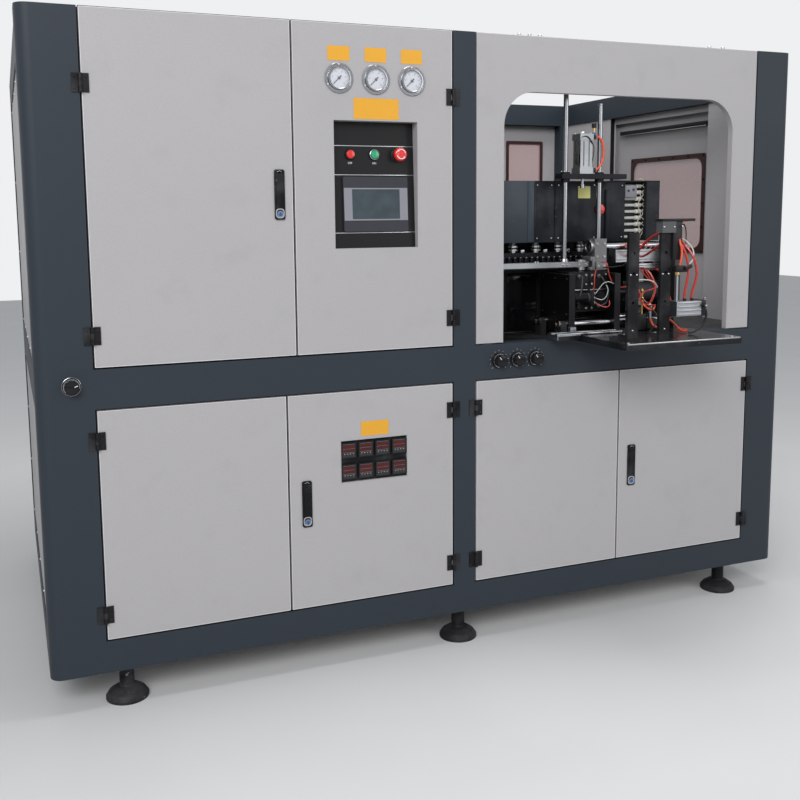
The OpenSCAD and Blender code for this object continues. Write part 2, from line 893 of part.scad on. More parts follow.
module lock_body_1() lock_body(0);
module lock_body_2() lock_body(1);
module lock_body_3() lock_body(2);
module lock_paddle_1() lock_paddle(0);
module lock_paddle_2() lock_paddle(1);
module lock_paddle_3() lock_paddle(2);
module lock_button_1() lock_button(0);
module lock_button_2() lock_button(1);
module lock_button_3() lock_button(2);

// Children are drawn on the leaning panel: its face is y = 0 and z runs up along it.
module on_panel() {
    place() translate([control_mid, recess_low_d, recess_z]) rotate([-lean, 0, 0]) children();
}

button_x = [screen_x - button_pitch, screen_x, screen_x + button_pitch];

module control_panel() {
    color([0.09, 0.09, 0.10])
    difference() {
        union() {
            place() translate([control_mid, 0, recess_z]) {
                along_x(recess_w) difference() {
                    recess_side(0, 0, panel_t);
                    recess_side(1, -1, 0);
                }
            }
            on_panel()
            for (i = [0, 1]) {
                translate([button_x[i], -collar_t, button_z]) cyl_y(collar_r, collar_t + 0.5);
            }
        }
        on_panel() {
            for (i = [0, 1]) {
                translate([button_x[i], -collar_t - 1, button_z]) cyl_y(button_r + 0.1, collar_t + 1);
            }
            for (x = button_x) {
                translate([x, -1, button_z]) cyl_y(stem_hole_r, panel_t + 2);
            }
            translate([screen_x - screen_w / 2 + 6, -1, screen_z + 6]) {
                cube([screen_w - 12, panel_t + 2, screen_h - 12]);
            }
        }
    }
}

// Operator screen: a frame that lies on the panel and a body through its cut-out.
module operator_screen() {
    color([0.12, 0.12, 0.13])
    on_panel()
    translate([screen_x - screen_w / 2, 0, screen_z])
    difference() {
        union() {
            translate([0, -8, 0]) upright_extrude(8) rounded_plate(screen_w, screen_h, 5);
            translate([7, -1, 7]) cube([screen_w - 14, 28, screen_h - 14]);
        }
        translate([24, -9, 30]) cube([screen_w - 48, 2.5, screen_h - 58]);
    }
}

module push_button(i) {
    on_panel() translate([button_x[i], 0, button_z]) {
        translate([0, -9, 0]) cyl_y(button_r, 5);
        translate([0, -5, 0]) cyl_y(stem_r, 26);
        translate([0, 14, 0]) cyl_y(stem_r + 4, 8);
    }
}

module stop_button() {
    color([0.80, 0.06, 0.05]) push_button(0);
}

module start_button() {
    color([0.05, 0.60, 0.30]) push_button(1);
}

module emergency_stop() {
    color([0.75, 0.04, 0.04])
    on_panel() translate([button_x[2], 0, button_z])
    rotate([90, 0, 0]) {
        rotate_extrude() polygon([
            [0, 30], [12, 29.5], [17, 28], [stop_r, 24], [stop_r, 19], [13, 16], [10, 8], [stem_r, 8],
            [stem_r, -22], [0, -22]
        ]);
        translate([0, 0, -22]) cylinder(r = stem_r + 4, h = 8);
    }
}

// Pressure gauges: a flange with a rim on the door and a case behind it.
module gauge_cases() {
    color([0.75, 0.75, 0.77])
    place()
    for (i = [-1:1]) {
        translate([control_mid + i * gauge_pitch, 0, gauge_z]) rotate([90, 0, 0]) {
            difference() {
                union() {
                    rotate_extrude() polygon([
                        [0, -26], [gauge_tub_r, -26], [gauge_tub_r, 0], [gauge_r, 0], [gauge_r, 2.5],
                        [gauge_r - 9, 3.5], [gauge_r - 10, 8], [gauge_r - 12, 9], [0, 9]
                    ]);
                    translate([0, 0, -38]) cylinder(r = 7, h = 14);
                }
                translate([0, 0, 2]) cylinder(r = gauge_r - 12.5, h = 8);
                translate([0, 0, -6]) cylinder(r = 1.5 + run, h = 10);
            }
        }
    }
}

module gauge_needle(i) {
    color([0.05, 0.05, 0.05])
    place()
    translate([control_mid + (i - 1) * gauge_pitch, 0, gauge_z]) rotate([90, 0, 0]) rotate([0, 0, 225]) {
        translate([0, 0, -5]) cylinder(r = 1.5, h = 9);
        translate([0, 0, 3.5]) cylinder(r = 4, h = 2);
        translate([0, 0, 3.8]) linear_extrude(1) {
            polygon([[-9, -1.6], [gauge_r - 18, -0.5], [gauge_r - 18, 0.5], [-9, 1.6]]);
        }
    }
}

module gauge_needle_1() gauge_needle(0);
module gauge_needle_2() gauge_needle(1);
module gauge_needle_3() gauge_needle(2);

ctrl_cols = [for (c = [0:3]) (c - 1.5) * ctrl_w / 4];
ctrl_rows = [for (r = [0, 1]) ctrl_h * (r + 0.5) / 2];

// Shallow black tray behind the cut-out, pierced for the controllers.
module controller_panel() {
    color([0.09, 0.09, 0.10])
    place() translate([ctrl_mid, 0, low_z0 + ctrl_z])
    difference() {
        translate([-ctrl_w / 2 - 12, sheet, -12]) cube([ctrl_w + 24, ctrl_back + sheet, ctrl_h + 24]);
        translate([-ctrl_w / 2, 0, 0]) cube([ctrl_w, sheet + ctrl_back - sheet, ctrl_h]);
        for (x = ctrl_cols, z = ctrl_rows) {
            translate([x - ctrl_body / 2, 0, z - ctrl_body / 2]) cube([ctrl_body, 30, ctrl_body]);
        }
    }
}

module temperature_controllers() {
    color([0.05, 0.05, 0.05])
    place() translate([ctrl_mid, ctrl_back, low_z0 + ctrl_z])
    for (x = ctrl_cols, z = ctrl_rows) {
        translate([x, 0, z]) difference() {
            union() {
                translate([-ctrl_face / 2, -7, -ctrl_face / 2]) {
                    upright_extrude(7) rounded_plate(ctrl_face, ctrl_face, 3);
                }
                translate([-ctrl_body / 2 + 0.2, -1, -ctrl_body / 2 + 0.2]) {
                    cube([ctrl_body - 0.4, 60, ctrl_body - 0.4]);
                }
            }
            translate([-19, -8, 2]) cube([38, 2, 16]);
        }
    }
}

// Fluted knob with a spindle through the frame's front wall and a washer behind it.
module knob(x, z) {
    place() translate([x, 0, z]) rotate([90, 0, 0]) {
        difference() {
            union() {
                translate([0, 0, 0.6]) cylinder(r = knob_r, h = 5);
                translate([0, 0, 0.6]) cylinder(r = knob_r - 3, h = knob_h - 1);
                translate([0, 0, 0.6]) cylinder(r = knob_r - 5, h = knob_h);
            }
            for (a = [0:30:330]) {
                rotate([0, 0, a]) translate([knob_r, 0, 6]) cylinder(r = 4, h = knob_h);
            }
        }
        translate([0, 0, -frame_wall - 6]) cylinder(r = spindle_r, h = frame_wall + 8);
        translate([0, 0, -frame_wall - 4]) cylinder(r = spindle_r + 5, h = 3.5);
    }
}

module heater_knob_1() {
    color([0.05, 0.05, 0.05]) knob(knob_x, knob_z);
}

module heater_knob_2() {
    color([0.05, 0.05, 0.05]) knob(knob_x + knob_pitch, knob_z);
}

module heater_knob_3() {
    color([0.05, 0.05, 0.05]) knob(knob_x + 2 * knob_pitch, knob_z);
}

module main_switch() {
    color([0.05, 0.05, 0.05]) knob(switch_x, knob_z + 10);
}

// Work table on the middle rail and the deck, reaching out of the window.
module table_plate() {
    color([0.07, 0.07, 0.08])
    place()
    translate([table_x, -table_out, deck_z])
    difference() {
        cube([table_w, table_out + table_in, table_t]);
        for (x = [table_hole_in, table_w - table_hole_in]) {
            for (y = [table_hole_in, table_out + table_in - table_hole_in]) {
                translate([x, y, -1]) cylinder(r = table_hole_r, h = table_t + 2);
            }
        }
    }
}

// Two flat-bar uprights with angled feet on the front of the table.
module table_uprights() {
    color([0.10, 0.10, 0.10])
    place()
    for (x = upright_x) {
        translate([x, -upright_out - upright_t, table_top])
        difference() {
            union() {
                cube([upright_w, upright_t, upright_h]);
                cube([upright_w, upright_t + 38, 10]);
            }
            for (z = [110, 200, 262]) {
                translate([upright_w / 2, -1, z]) cyl_y(4.5, upright_t + 2);
            }
        }
    }
}

// Flat bar that carries the guide rods, with its leg down to the deck.
module head_bar() {
    color([0.78, 0.78, 0.80])
    place()
    difference() {
        union() {
            translate([head_x0, station_y - head_w / 2, head_z]) cube([bracket_x0 - head_x0, head_w, head_t]);
            translate([head_x0, station_y - head_w / 2, deck_z]) cube([30, head_w, head_z - deck_z]);
            translate([part_x, station_y, head_z - 11]) cylinder(r = 14, h = 12);
            translate([part_x, station_y, head_z + head_t - 1]) cylinder(r = 18, h = 7);
        }
        translate([rod_x[0], station_y, head_z + head_t - rod_seat]) cylinder(r = rod_r, h = head_t);
        translate([part_x, station_y, head_z - 12]) cylinder(r = stretch_r + 3, h = head_t + 20);
    }
}

// Bearing block at the head bar's right end, clamped on the tie bar.
module bearing_bracket() {
    color([0.75, 0.76, 0.78])
    place()
    difference() {
        translate([bracket_x0, station_y - bracket_d / 2, bracket_z0]) cube([bracket_w, bracket_d, bracket_h]);
        translate([bracket_x0 - 1, station_y, tie_bar_z]) cyl_x(tie_bar_r, bracket_w + 2);
        translate([bracket_x0 - 1, station_y, tie_bar_z]) cyl_x(tie_bar_r + 4, 9);
        translate([rod_x[1], station_y, bracket_z0 + bracket_h - rod_seat]) cylinder(r = rod_r, h = 20);
    }
}

module guide_rods() {
    color([0.85, 0.85, 0.87])
    place() {
        z0 = head_z + head_t - rod_seat;
        z1 = bracket_z0 + bracket_h - rod_seat;
        translate([rod_x[0], station_y, z0]) cylinder(r = rod_r, h = rod_top + 25 - z0);
        translate([rod_x[1], station_y, z1]) cylinder(r = rod_r, h = rod_top - z1);
    }
}

// Plate that slides on the guide rods, with a flanged bush at each rod.
module lift_crossbar() {
    color([0.06, 0.06, 0.07])
    place()
    difference() {
        union() {
            translate([cross_x0, station_y - cross_d / 2, cross_z]) cube([cross_w, cross_d, cross_t]);
            for (x = rod_x) {
                translate([x, station_y, cross_z - 12]) cylinder(r = rod_r + 7, h = cross_t + 18);
            }
        }
        for (x = rod_x) {
            translate([x, station_y, cross_z - 20]) cylinder(r = rod_r + run, h = cross_t + 40);
        }
        translate([part_x, station_y, cross_z - 1]) cylinder(r = stretch_r + run, h = cross_t + 2);
    }
}

// Profile air cylinder that stands on the crossbar and drives the stretch rod.
module stretch_cylinder() {
    side = 50;
    color([0.80, 0.80, 0.82])
    place() translate([part_x, station_y, cross_z + cross_t])
    difference() {
        union() {
            for (z = [0, stretch_len - 20]) {
                translate([-side / 2, -side / 2, z]) cube([side, side, 20]);
            }
            translate([-side / 2 + 3, -side / 2 + 3, 20]) cube([side - 6, side - 6, stretch_len - 40]);
        }
        for (a = [0:90:270]) {
            rotate([0, 0, a]) for (x = [-10, 10]) {
                translate([x - 2.5, side / 2 - 6, 24]) cube([5, 8, stretch_len - 48]);
            }
        }
        translate([0, 0, -1]) cylinder(r = stretch_r + run, h = stretch_len - 14);
    }
}

module stretch_rod() {
    color([0.88, 0.88, 0.90])
    place() translate([part_x, station_y, cross_z - 30]) {
        cylinder(r = stretch_r, h = cross_t + stretch_len + 10);
        cylinder(r = stretch_r + 2, h = 12);
    }
}

// Indexing carrier of the preform line, a channel with a chain of rollers on its face.
module preform_carrier() {
    color([0.06, 0.06, 0.06])
    place()
    translate([carrier_x0, line_y - carrier_d / 2, carrier_z])
    difference() {
        union() {
            cube([carrier_x1 - carrier_x0, carrier_d, carrier_h - 12]);
            translate([0, 8, carrier_h - 12]) cube([carrier_x1 - carrier_x0, carrier_d - 16, 12]);
            for (x = [14:21.5:carrier_x1 - carrier_x0 - 10]) {
                translate([x, -4, 8]) cylinder(r = 6, h = 14);
            }
        }
        for (i = [0:holder_n - 1]) {
            translate([holder_x1 - i * holder_pitch - carrier_x0, carrier_d / 2, 8]) {
                cylinder(r = 6, h = carrier_h);
            }
        }
    }
}

// Turned holders with a spigot for a preform's neck.
module preform_holders() {
    color([0.80, 0.80, 0.80])
    place()
    for (i = [0:holder_n - 1]) {
        translate([holder_x1 - i * holder_pitch, line_y, carrier_z + carrier_h])
        rotate_extrude() polygon([
            [0, -30], [6, -30], [6, 0], [12, 0], [12, 5], [holder_r, 6], [holder_r, 12], [holder_r - 3, 13],
            [holder_r - 3, 16], [holder_r, 17], [holder_r, holder_h - 2], [holder_r - 2, holder_h],
            [9, holder_h], [8, holder_h + 16], [0, holder_h + 16]
        ]);
    }
}

// Heating tunnel: four folded front trays, a top, a reflector, an end box, a track and two legs.
module oven_housing() {
    y1 = oven_y0 + oven_d;
    color([0.10, 0.11, 0.13])
    place() {
        for (i = [0:3]) {
            w = oven_x[i + 1] - oven_x[i];
            translate([oven_x[i], oven_y0 + (i % 2) * 4, oven_z])
            difference() {
                cube([w, 20, oven_h]);
                translate([sheet, sheet, sheet]) cube([w - 2 * sheet, 30, oven_h - 2 * sheet]);
            }
        }
        translate([oven_x0, oven_y0, oven_z + oven_h]) cube([oven_len, oven_d, sheet]);
        translate([oven_x0, y1 - sheet, track_z]) {
            cube([oven_len, sheet, oven_z + oven_h - track_z]);
        }
        translate([track_x1, oven_y0, oven_z])
        difference() {
            cube([end_box_w, oven_d - sheet, oven_h]);
            translate([sheet, sheet, -1]) {
                cube([end_box_w - 2 * sheet, oven_d - 2 * sheet, oven_h + 1 - sheet]);
            }
        }
        translate([track_x0, line_y - 30, track_z]) cube([track_x1 - track_x0, y1 - line_y + 30, 18]);
        for (leg = [[track_x0, deck_z], [track_x1 - leg_w, table_top]]) {
            translate([leg[0], line_y, leg[1]]) cube([leg_w, leg_w, track_z - leg[1]]);
        }
    }
}

// Quartz lamps with ceramic ends, in two end plates.
module heating_lamps() {
    x1 = track_x1 - 4;
    y = oven_y0 + 30;
    pitch = (oven_h - 26) / (lamp_n - 1);
    color([0.85, 0.85, 0.82])
    place() {
        for (i = [0:lamp_n - 1]) {
            translate([oven_x0 + 10, y, oven_z + 13 + i * pitch]) {
                cyl_x(lamp_r, x1 - oven_x0 - 20);
                translate([x1 - oven_x0 - 32, 0, 0]) cyl_x(lamp_r + 2, 22);
            }
        }
        for (x = [oven_x0 + 4, oven_x[4] - 10]) {
            translate([x, y - lamp_r, oven_z + 8]) cube([6, 30, oven_h - 8]);
        }
    }
}

// Half of the bottle cavity, drawn about the mould's upright axis.
module bottle() {
    rotate_extrude() polygon([
        [0, 6], [bottle_r - 4, 6], [bottle_r, 10], [bottle_r, 62], [bottle_r - 2, 72], [12, 96],
        [9, 102], [9, mould_h + 1], [0, mould_h + 1]
    ]);
}

// Platen in YZ with its mould half. Side 1 has the platen to the right of the parting plane.
module platen_and_mould(side, x) {
    difference() {
        union() {
            translate([x, station_y - platen_d / 2, table_top + 5]) cube([platen_t, platen_d, platen_h]);
            translate([side > 0 ? part_x + 0.3 : part_x - mould_w, station_y - mould_d / 2, mould_z0]) {
                cube([mould_w - (side > 0 ? 0.3 : 0), mould_d, mould_h]);
            }
        }
        translate([part_x, station_y, mould_z0]) bottle();
        for (y = [-1, 1]) {
            translate([x - 1, station_y + y * bar_pitch / 2, bar_z]) {
                cyl_x(bar_r + (side > 0 ? run : 0), platen_t + 2);
            }
        }
    }
}

module fixed_platen() {
    color([0.16, 0.16, 0.17])
    place() {
        platen_and_mould(-1, fixed_platen_x);
        translate([fixed_platen_x, station_y - platen_d / 2, table_top]) cube([platen_t, platen_d, 6]);
    }
}

// Moving half with the ram's rod.
module moving_platen() {
    color([0.16, 0.16, 0.17])
    place() {
        platen_and_mould(1, moving_platen_x);
        translate([moving_platen_x + platen_t, station_y, ram_z]) {
            cyl_x(ram_rod_r, ram_x0 - moving_platen_x - platen_t + 14);
        }
    }
}

// Guide bars, tie bar, end blocks and thrust plate of the clamp.
module clamp_bars() {
    bar_len = thrust_x + thrust_t - bar_x0;
    color([0.83, 0.83, 0.85])
    place() {
        for (y = [-1, 1]) {
            translate([bar_x0, station_y + y * bar_pitch / 2, bar_z]) cyl_x(bar_r, bar_len);
            translate([bar_x0, station_y + y * bar_pitch / 2 - 18, deck_z]) {
                cube([rail_block_w, 36, bar_z - deck_z]);
            }
        }
        translate([bracket_x0 + 8, station_y, tie_bar_z]) {
            cyl_x(tie_bar_r, thrust_x + thrust_t - bracket_x0 - 8);
        }
        difference() {
            translate([thrust_x, station_y - platen_d / 2, table_top]) cube([thrust_t, platen_d, thrust_h]);
            translate([thrust_x - 1, station_y, ram_z]) cyl_x(8, thrust_t + 2);
        }
    }
}

// Clamp ram, valve manifold, valve block and the two small cylinders.
module air_units() {
    ram_r = 31;
    ram_len = thrust_x - ram_x0;
    color([0.78, 0.79, 0.81])
    place() {
        difference() {
            translate([ram_x0, station_y, ram_z]) {
                cyl_x(ram_r, ram_len);
                for (x = [0, ram_len - 16]) {
                    translate([x, -ram_r - 2, -ram_r - 2]) cube([16, 2 * ram_r + 4, 2 * ram_r + 4]);
                }
            }
            translate([ram_x0 - 1, station_y, ram_z]) cyl_x(ram_rod_r + run, ram_len - 10);
        }
        translate([thrust_x - 190, station_y - 20, table_top + 221]) cube([190, 40, 41]);
        translate([fixed_platen_x + platen_t, station_y - mould_d / 2 - 20, mould_z0 + 47]) cyl_x(16, 72);
        translate([upright_x[1] - 4, -upright_out - 22, table_top + upright_h]) cube([50, 32, 36]);
        translate([upright_x[1] + upright_w, -upright_out - 46, table_top + 65]) {
            difference() {
                cube([108, 46, 46]);
                for (y = [-1, 42], z = [14, 28]) {
                    translate([14, y, z]) cube([80, 5, 5]);
                }
            }
            translate([16, 23, 46]) cylinder(r = 4, h = 92);
        }
    }
}

// Point on a smooth curve through the points p at parameter t, from 0 to 1.
function spline(p, t) =
    let (
        n = len(p) - 1,
        s = min(floor(t * n), n - 1),
        u = t * n - s,
        a = p[max(s - 1, 0)],
        b = p[s],
        c = p[s + 1],
        d = p[min(s + 2, n)]
    )
    0.5 * (2 * b + (c - a) * u + (2 * a - 5 * b + 4 * c - d) * u * u + (3 * b - a - 3 * c + d) * u * u * u);

function unit(v) = v / norm(v);

// Ring of points round the curve at parameter t.
function ring(p, t, r, sides) =
    let (
        c = spline(p, t),
        d = unit(spline(p, min(t + 0.01, 1)) - spline(p, max(t - 0.01, 0))),
        e = unit(cross(d, abs(d.z) > 0.9 ? [1, 0, 0] : [0, 0, 1])),
        f = cross(d, e)
    )
    [for (k = [0:sides - 1]) c + r * (cos(360 * k / sides) * e + sin(360 * k / sides) * f)];

// Round tube of radius r swept along the points p.
module swept_tube(p, r, rings, sides = 8) {
    points = [for (i = [0:rings]) each ring(p, i / rings, r, sides)];
    walls = [
        for (i = [0:rings - 1], k = [0:sides - 1])
            [i * sides + k, i * sides + (k + 1) % sides, (i + 1) * sides + (k + 1) % sides, (i + 1) * sides + k]
    ];
    ends = [[for (k = [sides - 1:-1:0]) k], [for (k = [0:sides - 1]) rings * sides + k]];
    polyhedron(points, concat(walls, ends));
}

tube_r = 4;

// Routes of the air tubes from fitting to fitting.
tube_routes = [
    [
        [700, 80, 1097], [700, 80, 1078], [706, 34, 1058], [698, -8, 1012],
        [672, -14, 962], [664, 12, 975], [665, 38, 1002], [665, 52, 1002]
    ],
    [
        [740, 80, 1097], [740, 80, 1078], [748, 30, 1062], [742, -12, 1020],
        [752, -16, 965], [772, 10, 975], [772, 38, 1000], [772, 52, 1000]
    ],
    [
        [662, -207, 987], [662, -207, 1010], [668, -214, 1090], [650, -200, 1162],
        [628, -150, 1196], [636, -60, 1180], [640, 30, 1122], [640, 65, 1120]
    ],
    [
        [690, -207, 987], [690, -207, 1010], [700, -215, 1070], [688, -205, 1130],
        [664, -160, 1178], [670, -80, 1162], [680, 30, 1118], [680, 65, 1118]
    ]
];

module air_tubes() {
    color([0.85, 0.25, 0.12])
    place()
    for (p = tube_routes) {
        swept_tube(p, tube_r, 24);
    }
}

front_frame();
rear_frame();
tie_rails();
inner_panels();
deck();
window_panel();
side_panels();
rear_panels();
rear_pane();
levelling_feet();
fixed_hinges();
upper_door();
control_door();
lower_door_1();
lower_door_2();
lower_door_3();
lower_door_4();
side_door();
side_pane();
lock_body_1();
lock_body_2();
lock_body_3();
lock_paddle_1();
lock_paddle_2();
lock_paddle_3();
lock_button_1();
lock_button_2();
lock_button_3();
control_panel();
operator_screen();
stop_button();
start_button();
emergency_stop();
gauge_cases();
gauge_needle_1();
gauge_needle_2();
gauge_needle_3();
controller_panel();
temperature_controllers();
heater_knob_1();
heater_knob_2();
heater_knob_3();
main_switch();
table_plate();
table_uprights();
head_bar();
bearing_bracket();
guide_rods();
lift_crossbar();
stretch_cylinder();
stretch_rod();
preform_carrier();
preform_holders();
oven_housing();
heating_lamps();
fixed_platen();
moving_platen();
clamp_bars();
air_units();
air_tubes();
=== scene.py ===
import itertools
import math
import random

import bmesh
import bpy
from mathutils import Matrix, Vector


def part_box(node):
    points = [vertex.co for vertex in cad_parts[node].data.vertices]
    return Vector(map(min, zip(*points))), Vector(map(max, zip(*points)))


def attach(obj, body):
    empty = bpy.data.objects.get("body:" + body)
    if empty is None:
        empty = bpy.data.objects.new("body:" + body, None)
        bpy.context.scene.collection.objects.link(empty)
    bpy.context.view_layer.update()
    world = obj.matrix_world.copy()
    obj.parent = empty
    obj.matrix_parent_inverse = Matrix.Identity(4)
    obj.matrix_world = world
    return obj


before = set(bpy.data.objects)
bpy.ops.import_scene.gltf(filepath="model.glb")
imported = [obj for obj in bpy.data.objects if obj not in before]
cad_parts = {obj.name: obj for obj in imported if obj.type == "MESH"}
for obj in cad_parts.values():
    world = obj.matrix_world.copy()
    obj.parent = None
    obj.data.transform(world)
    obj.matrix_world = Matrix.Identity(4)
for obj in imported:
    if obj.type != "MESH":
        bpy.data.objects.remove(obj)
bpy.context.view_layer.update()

random.seed(4)

# Sizes in this script are millimetres from the cabinet's middle, its front face and its underside.
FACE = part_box("front_frame")[0]
shift = Matrix.Translation
TO_FRAME = shift((0, FACE[1], FACE[2])) @ Matrix.Scale(0.001, 4)
TO_CABINET = TO_FRAME.inverted()
LEAN = math.atan2(18, 366)  # the control panel's set-back over its height
FRAME = "machine_frame"
ORIGIN = (0, 0, 0)
FRONT, BACK, UP, RIGHT, LEFT = (0, -1, 0), (0, 1, 0), (0, 0, 1), (1, 0, 0), (-1, 0, 0)
SEAT = 0.2  # how deep a screw head sits in the sheet under it, so that no gap shows
SHARP = 0.6  # edges that turn more than this, in radians, stay sharp under smooth shading


def cabinet_box(node):
    """Lowest and highest corner of a node in the cabinet's millimetres."""
    low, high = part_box(node)
    return TO_CABINET @ Vector(low), TO_CABINET @ Vector(high)


def seen_middle(node):
    """A node's two corners, and the x and z of its middle as seen from the front."""
    low, high = cabinet_box(node)
    return low, high, (low.x + high.x) / 2, (low.z + high.z) / 2


def shown(name, data):
    """Object for a mesh, text, light or camera, linked to the scene."""
    made = bpy.data.objects.new(name, data)
    bpy.context.scene.collection.objects.link(made)
    return made


# ---------- finishes ----------


def feed(tree, inlet, value):
    if isinstance(value, Field):
        tree.links.new(value.outlet, inlet)
    elif isinstance(value, bpy.types.NodeSocket):
        tree.links.new(value, inlet)
    else:
        inlet.default_value = value


def add_node(tree, kind, inlets, **setup):
    """Adds a node to a tree, sets it up and feeds its sockets, given by name or number."""
    made = tree.nodes.new(kind)
    for word, value in setup.items():
        setattr(made, word, value)
    for key, value in inlets.items():
        feed(tree, made.inputs[key], value)
    return made


class Field:
    """One output of a node, with arithmetic that adds Math nodes."""

    def __init__(self, tree, outlet):
        self.tree, self.outlet = tree, outlet

    def _maths(self, operation, first, second):
        made = add_node(self.tree, "ShaderNodeMath", {0: first, 1: second}, operation=operation)
        return Field(self.tree, made.outputs[0])

    def __add__(self, other):
        return self._maths("ADD", self, other)

    def __sub__(self, other):
        return self._maths("SUBTRACT", self, other)

    def __rsub__(self, other):
        return self._maths("SUBTRACT", other, self)

    def __mul__(self, other):
        return self._maths("MULTIPLY", self, other)

    __radd__, __rmul__ = __add__, __mul__

    def above(self, edge, softness):
        """0 under the edge and 1 over it, with a soft step between."""
        limits = {"Value": self, "From Min": edge - softness, "From Max": edge + softness}
        made = add_node(self.tree, "ShaderNodeMapRange", limits, interpolation_type="SMOOTHSTEP")
        return Field(self.tree, made.outputs["Result"])


class Finish:
    """A material under construction round its Principled shader."""

    def __init__(self, name, colour, roughness, metallic=0.0, **fixed):
        self.material = bpy.data.materials.new(name)
        self.material.use_nodes = True
        self.tree = self.material.node_tree
        self.shader = self.tree.nodes["Principled BSDF"]
        self.set("Base Color", (*colour, 1))
        self.set("Roughness", roughness)
        self.set("Metallic", metallic)
        for word, value in fixed.items():
            self.set(word.replace("_", " "), value)

    def set(self, inlet, value):
        feed(self.tree, self.shader.inputs[inlet], value)

    def field(self, kind, inlets=None, outlet=0, **setup):
        made = add_node(self.tree, "ShaderNode" + kind, inlets or {}, **setup)
        return Field(self.tree, made.outputs[outlet])

    def place(self, stretch=(1, 1, 1)):
        """Coordinates that stay with the piece, stretched to draw long grain."""
        own = self.field("TexCoord", outlet="Object")
        return self.field("Mapping", {"Vector": own, "Scale": stretch})

    def noise(self, scale, detail=2.0, stretch=(1, 1, 1)):
        return self.field("TexNoise", {"Vector": self.place(stretch), "Scale": scale, "Detail": detail})

    def mix(self, share, first, second):
        first, second = ((*c, 1) if isinstance(c, tuple) else c for c in (first, second))
        return self.field("Mix", {0: share, 6: first, 7: second}, 2, data_type="RGBA")

    def bump(self, height, depth, strength=1.0):
        """Relief whose full height is a depth in millimetres."""
        inlets = {"Height": height, "Distance": depth / 1000, "Strength": strength}
        self.set("Normal", self.field("Bump", inlets))


def shade(colour, k):
    return tuple(min(c * k, 1.0) for c in colour)


def powder_coat(name, colour, roughness, hinge_colour=None):
    """Sprayed and baked coat: fine orange peel, speckle, faint clouding and handling dirt.

    A door's hinge leaves stand in front of its face, so what lies there takes the hinge colour.
    """
    f = Finish(name, colour, roughness, Specular_IOR_Level=0.22)
    clouds = f.noise(2.3, 4)
    dirt = f.noise(9, 6).above(0.62, 0.09) * 0.35
    speckle = f.noise(330, 3)
    tone = f.mix(clouds, shade(colour, 0.95), shade(colour, 1.05))
    grained = f.mix(speckle.above(0.5, 0.14), shade(colour, 0.90), shade(colour, 1.08))
    tone = f.mix(0.45, tone, grained)
    coat = f.mix(dirt * f.noise(31, 2), tone, shade(colour, 0.80))
    gloss = roughness + (f.noise(5, 3) - 0.5) * 0.16
    if hinge_colour:
        depth = f.field("SeparateXYZ", {0: f.place()}, "Y")
        behind = depth.above(FACE[1] - 0.0003, 0.0002)
        coat = f.mix(behind, hinge_colour, coat)
        hinge_gloss = 0.34
        gloss = gloss * behind + (1 - behind) * hinge_gloss
    f.set("Base Color", coat)
    f.set("Roughness", gloss)
    f.bump(f.noise(650, 2) + f.noise(210, 1) * 0.6, 0.22, 0.5)
    return f.material


def satin_metal(name, colour, roughness, wear=(0.30, 0.30, 0.31), sheen=0.12):
    """Dark coated metal, dusty and rubbed bright in small spots."""
    f = Finish(name, colour, roughness, Specular_IOR_Level=sheen)
    dust = f.noise(14, 5).above(0.56, 0.16) * 0.30
    rub = f.noise(75, 6).above(0.73, 0.03) * 0.55
    f.set("Base Color", f.mix(rub, f.mix(dust, colour, shade(wear, 0.35)), wear))
    f.set("Roughness", roughness + f.noise(40, 3) * 0.15 - 0.05)
    f.bump(f.noise(800, 2), 0.12, 0.5)
    return f.material


def ground_metal(name, colour, roughness, stretch=(1, 1, 1), smears=0.5):
    """Bare or plated metal with a fine grain, smears and small dull patches."""
    f = Finish(name, colour, roughness, 1.0)
    grain = f.noise(420, 3, stretch)
    smear = f.noise(11, 5)
    f.set("Base Color", f.mix(smear.above(0.5, 0.3) * smears, colour, shade(colour, 0.72)))
    f.set("Roughness", roughness + grain * 0.04 + smear.above(0.58, 0.14) * 0.08)
    f.bump(grain, 0.02, 0.12)
    return f.material


def parted_metal(name, colour, roughness, parts):
    """Ground metal in which some regions are coated: pairs of a mask's maker and a coat's colour."""
    f = Finish(name, colour, roughness, 1.0)
    grain = f.noise(420, 3, (0.06, 1, 1))
    place = f.field("SeparateXYZ", {0: f.place()}, "X").outlet.node
    across, depth, height = (Field(f.tree, place.outputs[k]) for k in range(3))
    tone = f.mix(f.noise(11, 5).above(0.5, 0.3) * 0.4, colour, shade(colour, 0.72))
    bare = 1 - across * 0
    for where, coat in parts:
        covered = where(across * 1000, (depth - FACE[1]) * 1000, (height - FACE[2]) * 1000)
        tone = f.mix(covered, tone, coat)
        bare = bare * (1 - covered)
    f.set("Base Color", tone)
    f.set("Metallic", bare)
    f.set("Roughness", roughness + grain * 0.04 + (1 - bare) * 0.3)
    f.bump(grain, 0.02, 0.12)
    return f.material


def moulded(name, colour, roughness, **fixed):
    """Moulded plastic or rubber with a faint texture."""
    f = Finish(name, colour, roughness, **fixed)
    f.set("Base Color", f.mix(f.noise(18, 3), shade(colour, 0.88), shade(colour, 1.10)))
    f.set("Roughness", roughness + (f.noise(60, 4) - 0.5) * 0.12)
    f.bump(f.noise(1300, 2), 0.05, 0.4)
    return f.material


def clear_sheet(name, colour, cover, roughness=0.06):
    """Tinted see-through sheet with fine scratches and haze."""
    f = Finish(name, colour, roughness)
    scratches = f.noise(60, 4, (1, 1, 9)).above(0.66, 0.03)
    f.set("Base Color", f.mix(f.noise(4, 2), shade(colour, 0.92), shade(colour, 1.06)))
    f.set("Alpha", cover + scratches * 0.10 + f.noise(3, 2) * 0.05)
    f.set("Roughness", roughness + scratches * 0.3)
    return f.material


